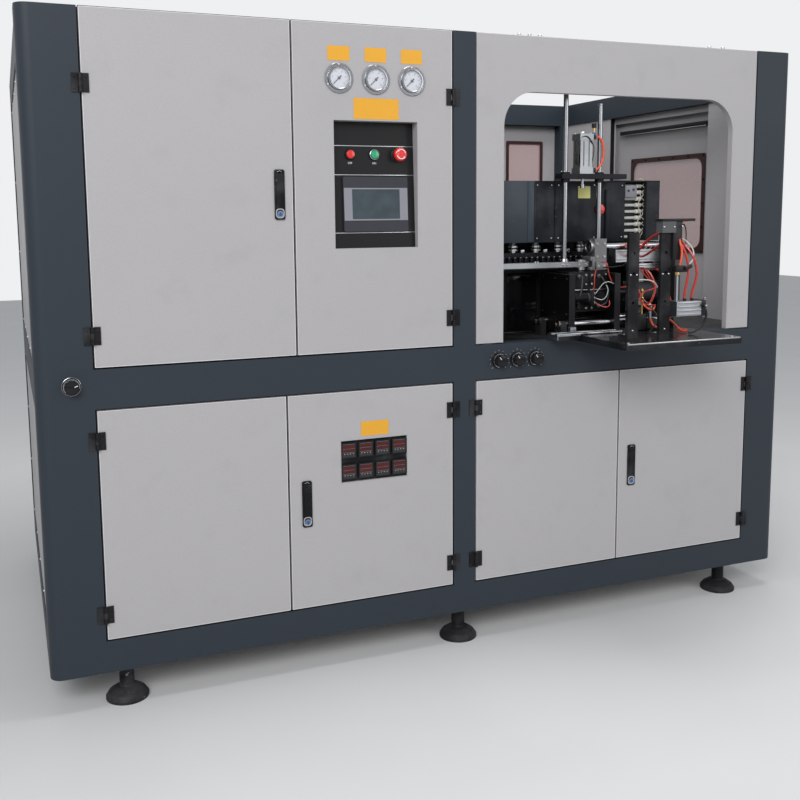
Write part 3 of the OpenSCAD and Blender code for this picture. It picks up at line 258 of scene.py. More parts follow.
def printed(name, colour, roughness=0.42):
    """Printed plate: smooth, a little faded and scuffed."""
    f = Finish(name, colour, roughness)
    f.set("Base Color", f.mix(f.noise(25, 4), shade(colour, 0.93), shade(colour, 1.04)))
    f.set("Roughness", roughness + f.noise(90, 4).above(0.6, 0.1) * 0.2)
    f.bump(f.noise(500, 2), 0.03, 0.4)
    return f.material


HINGE_BLACK, COAT_PALE = (0.006, 0.006, 0.007), (0.375, 0.362, 0.370)
SLATE = powder_coat("slate_coat", (0.024, 0.031, 0.041), 0.50)
PALE = powder_coat("pale_coat", COAT_PALE, 0.50)
DOOR_PALE = powder_coat("door_coat", COAT_PALE, 0.50, HINGE_BLACK)
INNER = powder_coat("inner_coat", (0.43, 0.415, 0.395), 0.5)
BLACK_COAT = satin_metal("black_coat", (0.007, 0.007, 0.008), 0.38)
DECK_BLACK = satin_metal("deck_black", (0.010, 0.010, 0.011), 0.30)
TABLE_BLACK = satin_metal("table_black", (0.007, 0.007, 0.008), 0.13, (0.20, 0.20, 0.21), 0.35)
FOOT_METAL = satin_metal("foot_metal", (0.014, 0.014, 0.016), 0.55)
OVEN_BLACK = satin_metal("oven_black", (0.012, 0.013, 0.016), 0.36, (0.16, 0.18, 0.20))
# Lighter blue-grey oven steel: a painted reflection, for the first tray and the seam strip beside it.
OVEN_PAINTED_REFLECTION = satin_metal("oven_painted_reflection", (0.034, 0.045, 0.057), 0.33, (0.16, 0.18, 0.20), 0.2)
# Mould steel darkened to near black: painted shade of the shadowed bay.
MOULD_STEEL_PAINTED_SHADE = ground_metal("mould_steel", (0.035, 0.035, 0.038), 0.40, (1, 1, 0.1))
CHROME = ground_metal("hard_chrome", (0.33, 0.34, 0.36), 0.14, (1, 1, 0.05), 0.35)
BRIGHT = ground_metal("bright_steel", (0.48, 0.49, 0.51), 0.24, (0.05, 1, 1))
ALUMINIUM = ground_metal("clear_aluminium", (0.25, 0.26, 0.27), 0.30, (1, 1, 0.06))
ALUMINIUM_X = ground_metal("drawn_aluminium", (0.34, 0.35, 0.37), 0.31, (0.06, 1, 1))
CLAMP_METAL = parted_metal("clamp_metal", (0.46, 0.47, 0.49), 0.14, [
    (lambda x, y, z: x.above(779.6, 0.3), (0.010, 0.010, 0.011)),
    (lambda x, y, z: x.above(344.7, 0.2) * (1 - x.above(366.3, 0.2)), (0.012, 0.012, 0.013)),
])
AIR_METAL = parted_metal("air_unit_metal", (0.34, 0.35, 0.37), 0.31, [
    (lambda x, y, z: z.above(1198.6, 0.3), (0.070, 0.070, 0.074)),
    (lambda x, y, z: y.above(-100, 1) * (1 - z.above(1050, 1)), (0.030, 0.030, 0.033)),
])
CAST_GREY = ground_metal("cast_bracket", (0.24, 0.24, 0.25), 0.55, (1, 1, 1), 0.6)
BLACK_ANODISED = ground_metal("black_anodised", (0.022, 0.022, 0.025), 0.40, (0.1, 1, 1))
BRASS = ground_metal("brass", (0.55, 0.38, 0.13), 0.3)
ZINC = ground_metal("zinc_screws", (0.50, 0.50, 0.50), 0.34)
PLASTIC = moulded("black_plastic", (0.011, 0.011, 0.012), 0.34, Specular_IOR_Level=0.2)
GLOSS_BLACK = moulded("gloss_black", (0.005, 0.005, 0.006), 0.10, Specular_IOR_Level=0.3)
SCREEN_GREY = moulded("screen_frame", (0.036, 0.037, 0.044), 0.45, Specular_IOR_Level=0.2)
SCREEN_SILVER = moulded("screen_silver", (0.22, 0.22, 0.25), 0.36, Specular_IOR_Level=0.3)
RED = moulded("button_red", (0.62, 0.012, 0.010), 0.22, Coat_Weight=0.5)
GREEN = moulded("button_green", (0.008, 0.30, 0.13), 0.22, Coat_Weight=0.5)
BLUE_PLASTIC = moulded("fitting_blue", (0.02, 0.10, 0.32), 0.35)
HOSE_RED = moulded("hose_orange", (0.72, 0.085, 0.030), 0.28, Subsurface_Weight=0.15)
HOSE_CLEAR = moulded("hose_clear", (0.62, 0.60, 0.55), 0.25, Subsurface_Weight=0.2)
HOSE_DARK = moulded("hose_dark_red", (0.42, 0.035, 0.026), 0.28)
WIRE_WHITE = moulded("wire_sleeve", (0.52, 0.50, 0.42), 0.6)
WIRE_BLACK = moulded("wire_black", (0.012, 0.012, 0.012), 0.5)
CERAMIC = moulded("lamp_ceramic", (0.70, 0.68, 0.62), 0.5)
LABEL = printed("label_orange", (0.68, 0.33, 0.018))
# Pale rim on the doors' folds: a painted highlight, lighter than the coat.
FOLD_HIGHLIGHT = printed("fold_painted_highlight", (0.62, 0.61, 0.61), 0.35)
TAG = printed("tag_yellow", (0.52, 0.50, 0.17))
WHITE = printed("dial_white", (0.58, 0.59, 0.64))
PANEL_BLACK = moulded("panel_black", (0.010, 0.010, 0.011), 0.30, Specular_IOR_Level=0.2)
MARK_BLACK = printed("dial_black", (0.01, 0.01, 0.011))
MARK_WHITE = printed("mark_white", (0.75, 0.75, 0.75))
PANE = clear_sheet("tinted_pane", (0.45, 0.29, 0.29), 0.62)
QUARTZ = clear_sheet("lamp_quartz", (0.78, 0.78, 0.74), 0.45, 0.04)
LENS = clear_sheet("gauge_lens", (0.85, 0.87, 0.90), 0.06, 0.02)
PANE_EDGE = moulded("pane_border", (0.035, 0.010, 0.010), 0.4)


def display(name, colour, gloss):
    """Dark display behind a smooth cover, with a faint dusty bloom."""
    f = Finish(name, colour, gloss, Specular_IOR_Level=0.3)
    bloom = f.noise(22, 5)
    f.set("Base Color", f.mix(bloom.above(0.5, 0.25) * 0.6, colour, shade(colour, 1.7)))
    f.set("Roughness", gloss + bloom * 0.12)
    return f.material


LCD = display("screen_glass", (0.034, 0.048, 0.056), 0.14)
DISPLAY_RED = display("display_red", (0.050, 0.006, 0.006), 0.22)

# Each finish's nodes. A numbered family stands here once, without its numbers.
FINISH_OF = {
    SLATE: "front_frame rear_frame tie_rails",
    PALE: "window_panel side_panels rear_panels side_door",
    DOOR_PALE: "upper_door control_door lower_door",
    INNER: "inner_panels",
    DECK_BLACK: "deck",
    PANE: "rear_pane side_pane",
    BLACK_COAT: "fixed_hinges lock_body lock_paddle controller_panel table_uprights",
    PLASTIC: "temperature_controllers gauge_needle",
    PANEL_BLACK: "control_panel",
    GLOSS_BLACK: "heater_knob main_switch",
    FOOT_METAL: "levelling_feet",
    SCREEN_GREY: "operator_screen",
    RED: "stop_button emergency_stop",
    GREEN: "start_button",
    CHROME: "gauge_cases lock_button guide_rods stretch_rod",
    CLAMP_METAL: "clamp_bars",
    AIR_METAL: "air_units",
    ALUMINIUM_X: "head_bar",
    CAST_GREY: "bearing_bracket",
    ALUMINIUM: "stretch_cylinder",
    BRIGHT: "preform_holders",
    BLACK_ANODISED: "lift_crossbar preform_carrier",
    TABLE_BLACK: "table_plate",
    OVEN_BLACK: "oven_housing",
    QUARTZ: "heating_lamps",
    MOULD_STEEL_PAINTED_SHADE: "fixed_platen moving_platen",
    HOSE_DARK: "air_tubes",
}
FAMILY = {family: material for material, names in FINISH_OF.items() for family in names.split()}
for name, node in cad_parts.items():
    node.data.materials.clear()
    node.data.materials.append(FAMILY[name.rstrip("_1234")])


# ---------- drawing pieces ----------


def keep(name, mesh, body):
    piece = shown(name, mesh)
    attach(piece, body)


def aimed(centre, axis, spin=0.0):
    """Matrix that turns +Z to an axis and moves the origin to a centre."""
    turn = Vector(axis).to_track_quat("Z", "Y").to_matrix().to_4x4()
    return shift(centre) @ turn @ Matrix.Rotation(spin, 4, "Z")


def rounded(w, h, r, steps=5):
    """Outline of a rounded rectangle about its middle."""
    points = []
    for cx, cy, start in ((w, h, 0), (-w, h, 90), (-w, -h, 180), (w, -h, 270)):
        for k in range(steps + 1):
            a = math.radians(start + 90 * k / steps)
            x = math.copysign(abs(cx) / 2 - r, cx) + r * math.cos(a)
            points.append((x, math.copysign(abs(cy) / 2 - r, cy) + r * math.sin(a)))
    return points


class Shape:
    """A mesh drawn in the cabinet's millimetres, or in those of a frame that is placed in it."""

    def __init__(self, place=None):
        self.mesh = bmesh.new()
        self.frame = place or Matrix.Identity(4)
        self.paints, self.paint = [], 0

    def use(self, material):
        if material not in self.paints:
            self.paints.append(material)
        self.paint = self.paints.index(material)
        return self

    def take(self, part, place=None):
        for face in part.faces:
            face.material_index = self.paint
        part.transform(self.frame @ (place or Matrix.Identity(4)))
        loose = bpy.data.meshes.new("loose")
        part.to_mesh(loose)
        part.free()
        self.mesh.from_mesh(loose)
        bpy.data.meshes.remove(loose)
        return self

    def block(self, low, high, bend=0.6, place=None):
        part = bmesh.new()
        bmesh.ops.create_cube(part, size=1)
        for v in part.verts:
            v.co = [a + (b - a) * (c + 0.5) for a, b, c in zip(low, high, v.co)]
        bend = min(bend, 0.45 * min(abs(b - a) for a, b in zip(low, high)))
        bmesh.ops.bevel(part, geom=part.edges[:], offset=bend, segments=2, profile=0.5, affect="EDGES")
        return self.take(part, place)

    def turned(self, profile, centre, axis=FRONT, sides=36):
        """Lathe work: pairs of radius and height along the axis, closed where the radius is 0."""
        part = bmesh.new()
        rings = []
        for r, h in profile:
            n = 1 if r == 0 else sides
            ring = []
            for k in range(n):
                a = 2 * math.pi * k / sides
                ring.append(part.verts.new((r * math.cos(a), r * math.sin(a), h)))
            rings.append(ring)
        for low, high in zip(rings, rings[1:]):
            for k in range(sides):
                j = (k + 1) % sides
                corners = (low[k % len(low)], low[j % len(low)], high[j % len(high)], high[k % len(high)])
                corners = list(dict.fromkeys(corners))
                if len(corners) > 2:
                    part.faces.new(corners)
        bmesh.ops.recalc_face_normals(part, faces=part.faces)
        return self.take(part, aimed(centre, axis))

    def hoop(self, profile, *place):
        """Lathe work whose profile closes on itself."""
        return self.turned([*profile, profile[0]], *place)

    def rod(self, start, end, radius, sides=24, bend=0.5):
        start, end = Vector(start), Vector(end)
        long = (end - start).length
        b = min(bend, radius * 0.5, long * 0.4)
        profile = [(0, 0), (radius - b, 0), (radius, b), (radius, long - b), (radius - b, long), (0, long)]
        return self.turned(profile, start, end - start, sides)

    def nut(self, centre, axis, across, height, spin=0.0):
        part = bmesh.new()
        r = across / math.sqrt(3)
        bmesh.ops.create_cone(part, segments=6, radius1=r, radius2=r, depth=height, cap_ends=True)
        bmesh.ops.bevel(part, geom=part.edges[:], offset=across * 0.05, segments=1, affect="EDGES")
        return self.take(part, aimed(centre, axis, spin))

    def plate(self, outline, thick, place, hole=None):
        """Flat plate from an outline, its back at height 0 of the place, with an optional hole."""
        part = bmesh.new()
        outer = [[part.verts.new((x, y, z)) for x, y in outline] for z in (0, thick)]
        n = len(outline)
        for k in range(n):
            part.faces.new([outer[0][k], outer[0][(k + 1) % n], outer[1][(k + 1) % n], outer[1][k]])
        if hole:
            inner = [[part.verts.new((x, y, z)) for x, y in hole] for z in (0, thick)]
            for k in range(n):
                j = (k + 1) % n
                part.faces.new([inner[0][j], inner[0][k], inner[1][k], inner[1][j]])
                part.faces.new([outer[1][k], outer[1][j], inner[1][j], inner[1][k]])
                part.faces.new([outer[0][j], outer[0][k], inner[0][k], inner[0][j]])
        else:
            part.faces.new(outer[1])
            part.faces.new(list(reversed(outer[0])))
        bmesh.ops.recalc_face_normals(part, faces=part.faces)
        return self.take(part, place)

    def face_plate(self, place, size, thick, hole=None):
        """Rounded plate at an x, z and distance out of the front face, from width, height and radius."""
        return self.plate(rounded(*size), thick, on_face(*place), hole and rounded(*hole))

    def done(self, name, body=FRAME, slot="bright_steel"):
        mesh = bpy.data.meshes.new(name)
        self.mesh.transform(TO_FRAME)
        self.mesh.to_mesh(mesh)
        self.mesh.free()
        for material in self.paints:
            mesh.materials.append(material)
        mesh.polygons.foreach_set("use_smooth", [True] * len(mesh.polygons))
        mesh.set_sharp_from_angle(angle=SHARP)
        keep(name, mesh, body)


def on_face(x, z, out=0.0):
    """Place on the front face: X to the right, Y up and Z towards the viewer."""
    return shift((x, -out, z)) @ Matrix.Rotation(math.pi / 2, 4, "X")


# ---------- growing what repeats ----------


def new_tree(name, **inlets):
    """Empty geometry tree with named inputs. Gives the tree, its adder of nodes and its inputs."""
    tree = bpy.data.node_groups.new(name, "GeometryNodeTree")
    for label, kind in {"Geometry": "Geometry", **inlets, "Material": "Material"}.items():
        tree.interface.new_socket(label, in_out="INPUT", socket_type="NodeSocket" + kind)
    tree.interface.new_socket("Geometry", in_out="OUTPUT", socket_type="NodeSocketGeometry")

    def add(kind, inlets, outlet=0, **setup):
        return add_node(tree, kind, inlets, **setup).outputs[outlet]

    return tree, add, tree.nodes.new("NodeGroupInput").outputs


def close_tree(tree, add, geometry, material):
    real = add("GeometryNodeRealizeInstances", {"Geometry": geometry})
    painted = add("GeometryNodeSetMaterial", {"Geometry": real, "Material": material})
    tree.links.new(painted, tree.nodes.new("NodeGroupOutput").inputs[0])
    return tree


def setting_out_tree():
    """Puts one piece at each point of a mesh, turned to its aim and spin."""
    tree, add, source = new_tree("setting_out", Piece="Object", Size="Float")
    piece = add("GeometryNodeObjectInfo", {"Object": source["Piece"]}, "Geometry")
    aim = add("GeometryNodeInputNamedAttribute", {"Name": "aim"}, "Attribute", data_type="FLOAT_VECTOR")
    spin = add("GeometryNodeInputNamedAttribute", {"Name": "spin"}, "Attribute", data_type="FLOAT")
    facing = add("FunctionNodeAlignRotationToVector", {"Vector": aim}, axis="Z")
    turn = add("FunctionNodeAxisAngleToRotation", {"Axis": UP, "Angle": spin})
    both = add("FunctionNodeRotateRotation", {"Rotation": facing, "Rotate By": turn}, rotation_space="LOCAL")
    size = add("ShaderNodeCombineXYZ", {i: source["Size"] for i in range(3)})
    points = add("GeometryNodeMeshToPoints", {"Mesh": source["Geometry"]})
    copies = add(
        "GeometryNodeInstanceOnPoints", {"Points": points, "Instance": piece, "Rotation": both, "Scale": size}
    )
    return close_tree(tree, add, copies, source["Material"])


def hose_tree():
    """Sweeps a round hose along each run of points."""
    tree, add, source = new_tree("hose_run", Radius="Float", Sides="Int", Step="Float")
    run = add("GeometryNodeMeshToCurve", {"Mesh": source["Geometry"]})
    bent = add("GeometryNodeCurveSplineType", {"Curve": run}, spline_type="CATMULL_ROM")
    even = add("GeometryNodeResampleCurve", {"Curve": bent, "Length": source["Step"]}, mode="LENGTH")
    section = add(
        "GeometryNodeCurvePrimitiveCircle", {"Resolution": source["Sides"], "Radius": source["Radius"]}
    )
    skin = add("GeometryNodeCurveToMesh", {"Curve": even, "Profile Curve": section, "Fill Caps": True})
    smooth = add("GeometryNodeSetShadeSmooth", {"Geometry": skin})
    return close_tree(tree, add, smooth, source["Material"])


def dial_tree():
    """Draws a ring of radial marks round each point of a mesh, facing the front."""
    tree, add, source = new_tree(
        "dial_marks", Count="Int", Start="Float", Sweep="Float", Radius="Float", Mark="Vector"
    )
    sweep = {"Start Angle": source["Start"], "Sweep Angle": source["Sweep"]}
    arc = add("GeometryNodeCurveArc", {"Resolution": 90, "Radius": source["Radius"], **sweep})
    stops = add_node(tree, "GeometryNodeCurveToPoints", {"Curve": arc, "Count": source["Count"]}).outputs
    mark = add("GeometryNodeMeshCube", {"Size": source["Mark"]})
    facing = add("FunctionNodeAlignRotationToVector", {"Vector": stops["Tangent"]}, axis="X")
    ring = add(
        "GeometryNodeInstanceOnPoints", {"Points": stops["Points"], "Instance": mark, "Rotation": facing}
    )
    upright = add("GeometryNodeTransform", {"Geometry": ring, "Rotation": (math.pi / 2, 0, 0)})
    centres = add("GeometryNodeMeshToPoints", {"Mesh": source["Geometry"]})
    rings = add("GeometryNodeInstanceOnPoints", {"Points": centres, "Instance": upright})
    return close_tree(tree, add, rings, source["Material"])


SETTING_OUT, HOSE_RUN, DIAL_MARKS = setting_out_tree(), hose_tree(), dial_tree()


def grown(tree, mesh, settings):
    """Runs a geometry tree on a mesh and gives the result as a plain mesh."""
    carrier = shown("carrier", mesh)
    grow = carrier.modifiers.new("grow", "NODES")
    grow.node_group = tree
    for socket in tree.interface.items_tree:
        if socket.name in settings:
            grow[socket.identifier] = settings[socket.name]
    bpy.context.view_layer.update()
    depsgraph = bpy.context.evaluated_depsgraph_get()
    made = bpy.data.meshes.new_from_object(carrier.evaluated_get(depsgraph), depsgraph=depsgraph)
    bpy.data.objects.remove(carrier)
    return made


def set_out(name, piece, points, body=FRAME, material=ZINC, size=1.0):
    """Copies of a small mesh at points given as (place, aim) or (place, aim, spin)."""
    mesh = bpy.data.meshes.new(name)
    mesh.from_pydata([TO_FRAME @ Vector(p[0]) for p in points], [], [])
    aims, spins = [], []
    for p in points:
        aims.extend(Vector(p[1]).normalized())
        spins.append(p[2] if len(p) > 2 else random.uniform(0, math.pi))
    mesh.attributes.new("aim", "FLOAT_VECTOR", "POINT").data.foreach_set("vector", aims)
    mesh.attributes.new("spin", "FLOAT", "POINT").data.foreach_set("value", spins)
    source = shown("source", piece)
    made = grown(SETTING_OUT, mesh, {"Piece": source, "Size": size / 1000, "Material": material})
    bpy.data.objects.remove(source)
    made.set_sharp_from_angle(angle=SHARP)
    keep(name, made, body)


def hoses(name, radius, material, runs, body=FRAME, sides=10, step=None):
    """Hoses or wires along runs of points."""
    points, edges = [], []
    for run in runs:
        first = len(points)
        points += [TO_FRAME @ Vector(p) for p in run]
        edges += [(k, k + 1) for k in range(first, len(points) - 1)]
    mesh = bpy.data.meshes.new(name)
    mesh.from_pydata(points, edges, [])
    step = (step or radius * 1.6) / 1000
    settings = {"Radius": radius / 1000, "Sides": sides, "Step": step, "Material": material}
    keep(name, grown(HOSE_RUN, mesh, settings), body)


def small(draw):
    """Mesh of a small repeated piece, drawn about the origin with +Z outwards, in millimetres."""
    shape = Shape().use(ZINC)
    draw(shape)
    mesh = bpy.data.meshes.new("small")
    shape.mesh.to_mesh(mesh)
    shape.mesh.free()
    mesh.polygons.foreach_set("use_smooth", [True] * len(mesh.polygons))
    return mesh


def socket_screw(shape):
    wall = [(0, 0), (3.0, 0), (3.0, 2.6), (2.7, 3.0), (1.6, 3.0), (1.6, 1.4), (0, 1.4)]
    shape.turned(wall, ORIGIN, UP, 18)


def dome_screw(shape):
    wall = [(0, 0), (3.0, 0), (2.9, 0.7), (2.2, 1.5), (1.0, 1.9), (0, 2.0)]
    shape.turned(wall, ORIGIN, UP, 18)
    shape.block((-2.1, -0.3, 1.4), (2.1, 0.3, 2.06), 0.1)
    shape.block((-0.3, -2.1, 1.4), (0.3, 2.1, 2.06), 0.1)


def hex_bolt(shape):
    shape.turned([(0, 0), (5.2, 0), (5.2, 0.7), (0, 0.7)], ORIGIN, UP, 20)
    shape.nut((0, 0, 2.4), UP, 7.4, 3.4)
    shape.rod((0, 0, 4), (0, 0, 5.2), 2.2, 12, 0.3)


SOCKET_SCREW, DOME_SCREW, HEX_BOLT = small(socket_screw), small(dome_screw), small(hex_bolt)


def grid(xs, ys, zs, aim):
    """Places at every mix of the given x, y and z, each one number or several, all aimed one way."""
    sets = [v if isinstance(v, (tuple, list)) else (v,) for v in (xs, ys, zs)]
    return [(place, aim) for place in itertools.product(*sets)]


# ---------- doors and cabinet ----------

OUTER_PIN, INNER_PIN = 1098.25, 38.75
UPPER_PINS, LOWER_PINS = (946.5, 1606), (169, 660)
# Each door's pin in x, the side of the pin that the door lies on, and its hinges' heights.
HINGES = {
    "upper_door": (-OUTER_PIN, 1, UPPER_PINS),
    "control_door": (-INNER_PIN, -1, UPPER_PINS),
    "lower_door_1": (-OUTER_PIN, 1, LOWER_PINS),
    "lower_door_2": (-INNER_PIN, -1, LOWER_PINS),
    "lower_door_3": (INNER_PIN, 1, LOWER_PINS),
    "lower_door_4": (OUTER_PIN, -1, LOWER_PINS),
}
PIN_TO_EDGE, LEAF_MID, LEAF_FRONT = 1.75, 14.5, -2.6
GAUGE_PITCH = 112


def hinge_screws():
    fixed = []
    for body, (pin, side, pins) in HINGES.items():
        heights = [z + dz for z in pins for dz in (-15, 15)]
        own = grid(pin + side * LEAF_MID, LEAF_FRONT, heights, FRONT)
        fixed += grid(pin - side * LEAF_MID, LEAF_FRONT, heights, FRONT)
        set_out(body + "_hinge_screws", DOME_SCREW, own, body, BLACK_COAT)
    set_out("frame_hinge_screws", DOME_SCREW, fixed, FRAME, BLACK_COAT)


def locks():
    for n, body in ((1, "upper_door"), (2, "lower_door_2"), (3, "lower_door_4")):
        low, _, x, z = seen_middle(f"lock_body_{n}")
        trim = Shape().use(BRIGHT)
        for side in (-1, 1):
            spot = shift((x + side * 3.4, low.y - 0.1, z + 64.6))
            trim.block((-4.2, -0.5, -0.6), (4.2, 0.4, 0.6), 0.2, spot @ Matrix.Rotation(side * 0.5, 4, "Y"))
        face, _, _, z = seen_middle(f"lock_button_{n}")
        trim.face_plate((x, z + 2, -low.y - 0.1), (25, 27, 9), 0.8, (19.6, 21, 8))
        trim.done(f"lock_trim_{n}", body, "gauge_metal")
        key = Shape().use(BLUE_PLASTIC)
        key.turned([(0, 0), (6.4, 0), (6.4, 1.0), (5.6, 1.4), (0, 1.4)], (x, face.y + 0.2, z), FRONT, 24)
        key.use(MARK_BLACK).block((x - 0.8, face.y - 1.5, z - 3.6), (x + 0.8, face.y - 0.9, z + 3.6), 0.2)
        key.done(f"lock_key_{n}", f"lock_button_{n}", "gauge_metal")


def door_edges():
    """Black foam gasket behind each door's edge, seen in the gaps, a black rim painted on the face's outer edge
    as the gap's shade, and a pale rim inside it painted as the fold's highlight.
    """
    for body, (pin, side, _) in HINGES.items():
        low, high = cabinet_box(body)
        (low if side > 0 else high).x = pin + side * PIN_TO_EDGE
        w, h = high.x - low.x, high.z - low.z
        x, z = (low.x + high.x) / 2, (low.z + high.z) / 2
        seal_and_painted_rims = Shape().use(PLASTIC)
        seal_and_painted_rims.face_plate((x, z, -22.0), (w - 6, h - 6, 2), 2.0, (w - 26, h - 26, 2))
        # Black rim on the door's face round its edge: painted shade of the gap.
        seal_and_painted_rims.face_plate((x, z, -0.05), (w, h, 2), 0.25, (w - 2.8, h - 2.8, 2))
        # Pale rim inside it: a painted highlight where the fold catches light.
        seal_and_painted_rims.use(FOLD_HIGHLIGHT)
        seal_and_painted_rims.face_plate((x, z, -0.05), (w - 2.8, h - 2.8, 2), 0.25, (w - 6, h - 6, 2))
        seal_and_painted_rims.done(body + "_edges", body, "black_plastic")


def labels():
    _, _, x, z = seen_middle("gauge_cases")
    plates = Shape().use(LABEL)
    for k in (-1, 0, 1):
        plates.face_plate((x + k * GAUGE_PITCH, z + 68.5), (66, 40, 1.5), 0.7)
    plates.face_plate((x + 1, z - 83), (139, 59, 1.5), 0.7)
    plates.done("door_labels", "control_door", "panel_paint")
    _, high, x, _ = seen_middle("controller_panel")
    label = Shape().use(LABEL)
    label.face_plate((x + 2, high.z + 18), (88, 44, 1.5), 0.7)
    label.done("controller_label", "lower_door_2", "panel_paint")


def dial_angle(k):
    """Angle of a dial's k-th tenth, clockwise from 225 degrees."""
    return math.radians(225 - 27 * k)


def gauges():
    _, _, mid, z = seen_middle("gauge_cases")
    xs = [mid + k * GAUGE_PITCH for k in (-1, 0, 1)]
    dial, rim, lens = Shape().use(WHITE), Shape().use(CHROME), Shape().use(LENS)
    bezel = [(29.6, 2.5), (33.5, 2.5), (34.6, 5.5), (34.2, 8.4), (32.6, 10.2), (30.6, 10.4), (29.2, 9.2)]
    flange = [(37, 2.4), (42.4, 2.4), (42.6, 3.2), (41.4, 4.4), (38, 4.4)]
    screws = []
    for x in xs:
        dial.turned([(0, 0), (29.3, 0), (29.3, 0.6), (0, 0.6)], (x, -2.1, z))
        rim.hoop(bezel, (x, 0, z), FRONT, 56)
        rim.hoop(flange, (x, 0, z), FRONT, 56)
        lens.turned([(0, 8.4), (29.3, 8.0), (29.3, 8.6), (0, 9.0)], (x, 0, z), FRONT, 48)
        for a in map(math.radians, (90, 210, 330)):
            screws.append(((x + 37.4 * math.cos(a), -2.6, z + 37.4 * math.sin(a)), FRONT))
    for shape, name in ((dial, "dials"), (rim, "rims"), (lens, "lenses")):
        shape.done("gauge_" + name, "control_door", "gauge_metal")
    set_out("gauge_screws", DOME_SCREW, screws, "control_door", size=1.25)
    mesh = bpy.data.meshes.new("dials")
    mesh.from_pydata([TO_FRAME @ Vector((x, -2.9, z)) for x in xs], [], [])
    for name, count, radius, mark in (
        ("gauge_fine_marks", 51, 0.0262, (0.00035, 0.0016, 0.0003)),
        ("gauge_main_marks", 11, 0.0252, (0.0008, 0.0036, 0.0003)),
    ):
        settings = {"Count": count, "Radius": radius, "Mark": mark, "Material": MARK_BLACK}
        settings.update(Start=math.radians(-45), Sweep=math.radians(270))
        keep(name, grown(DIAL_MARKS, mesh.copy(), settings), "control_door")
    numbers = Shape().use(MARK_BLACK)
    for x in xs:
        for k in range(0, 11, 2):
            a = dial_angle(k)
            write(numbers, str(k), 4.6, on_face(x + 19.6 * math.cos(a), z + 19.6 * math.sin(a), 2.75), 0.2)
    numbers.done("gauge_numbers", "control_door", "black_plastic")
    for n, x in enumerate(xs, 1):
        hub = Shape().use(MARK_BLACK)
        hub.turned([(0, 0), (3.6, 0), (3.3, 1.0), (0, 1.3)], (x, -5.4, z))
        hub.done(f"needle_hub_{n}", f"gauge_needle_{n}", "black_plastic")


def write(shape, words, height, place, thick):
    """Plain figures or ON and OFF, centred on a place and raised by a thickness."""
    curve = bpy.data.curves.new("words", "FONT")
    curve.body, curve.size, curve.align_x, curve.align_y = words, height * 1.35, "CENTER", "CENTER"
    curve.extrude, curve.resolution_u = thick / 2, 2
    holder = shown("words", curve)
    bpy.context.view_layer.update()
    mesh = bpy.data.meshes.new_from_object(holder.evaluated_get(bpy.context.evaluated_depsgraph_get()))
    bpy.data.objects.remove(holder)
    part = bmesh.new()
    part.from_mesh(mesh)
    bmesh.ops.remove_doubles(part, verts=part.verts, dist=0.001)
    shape.take(part, place)


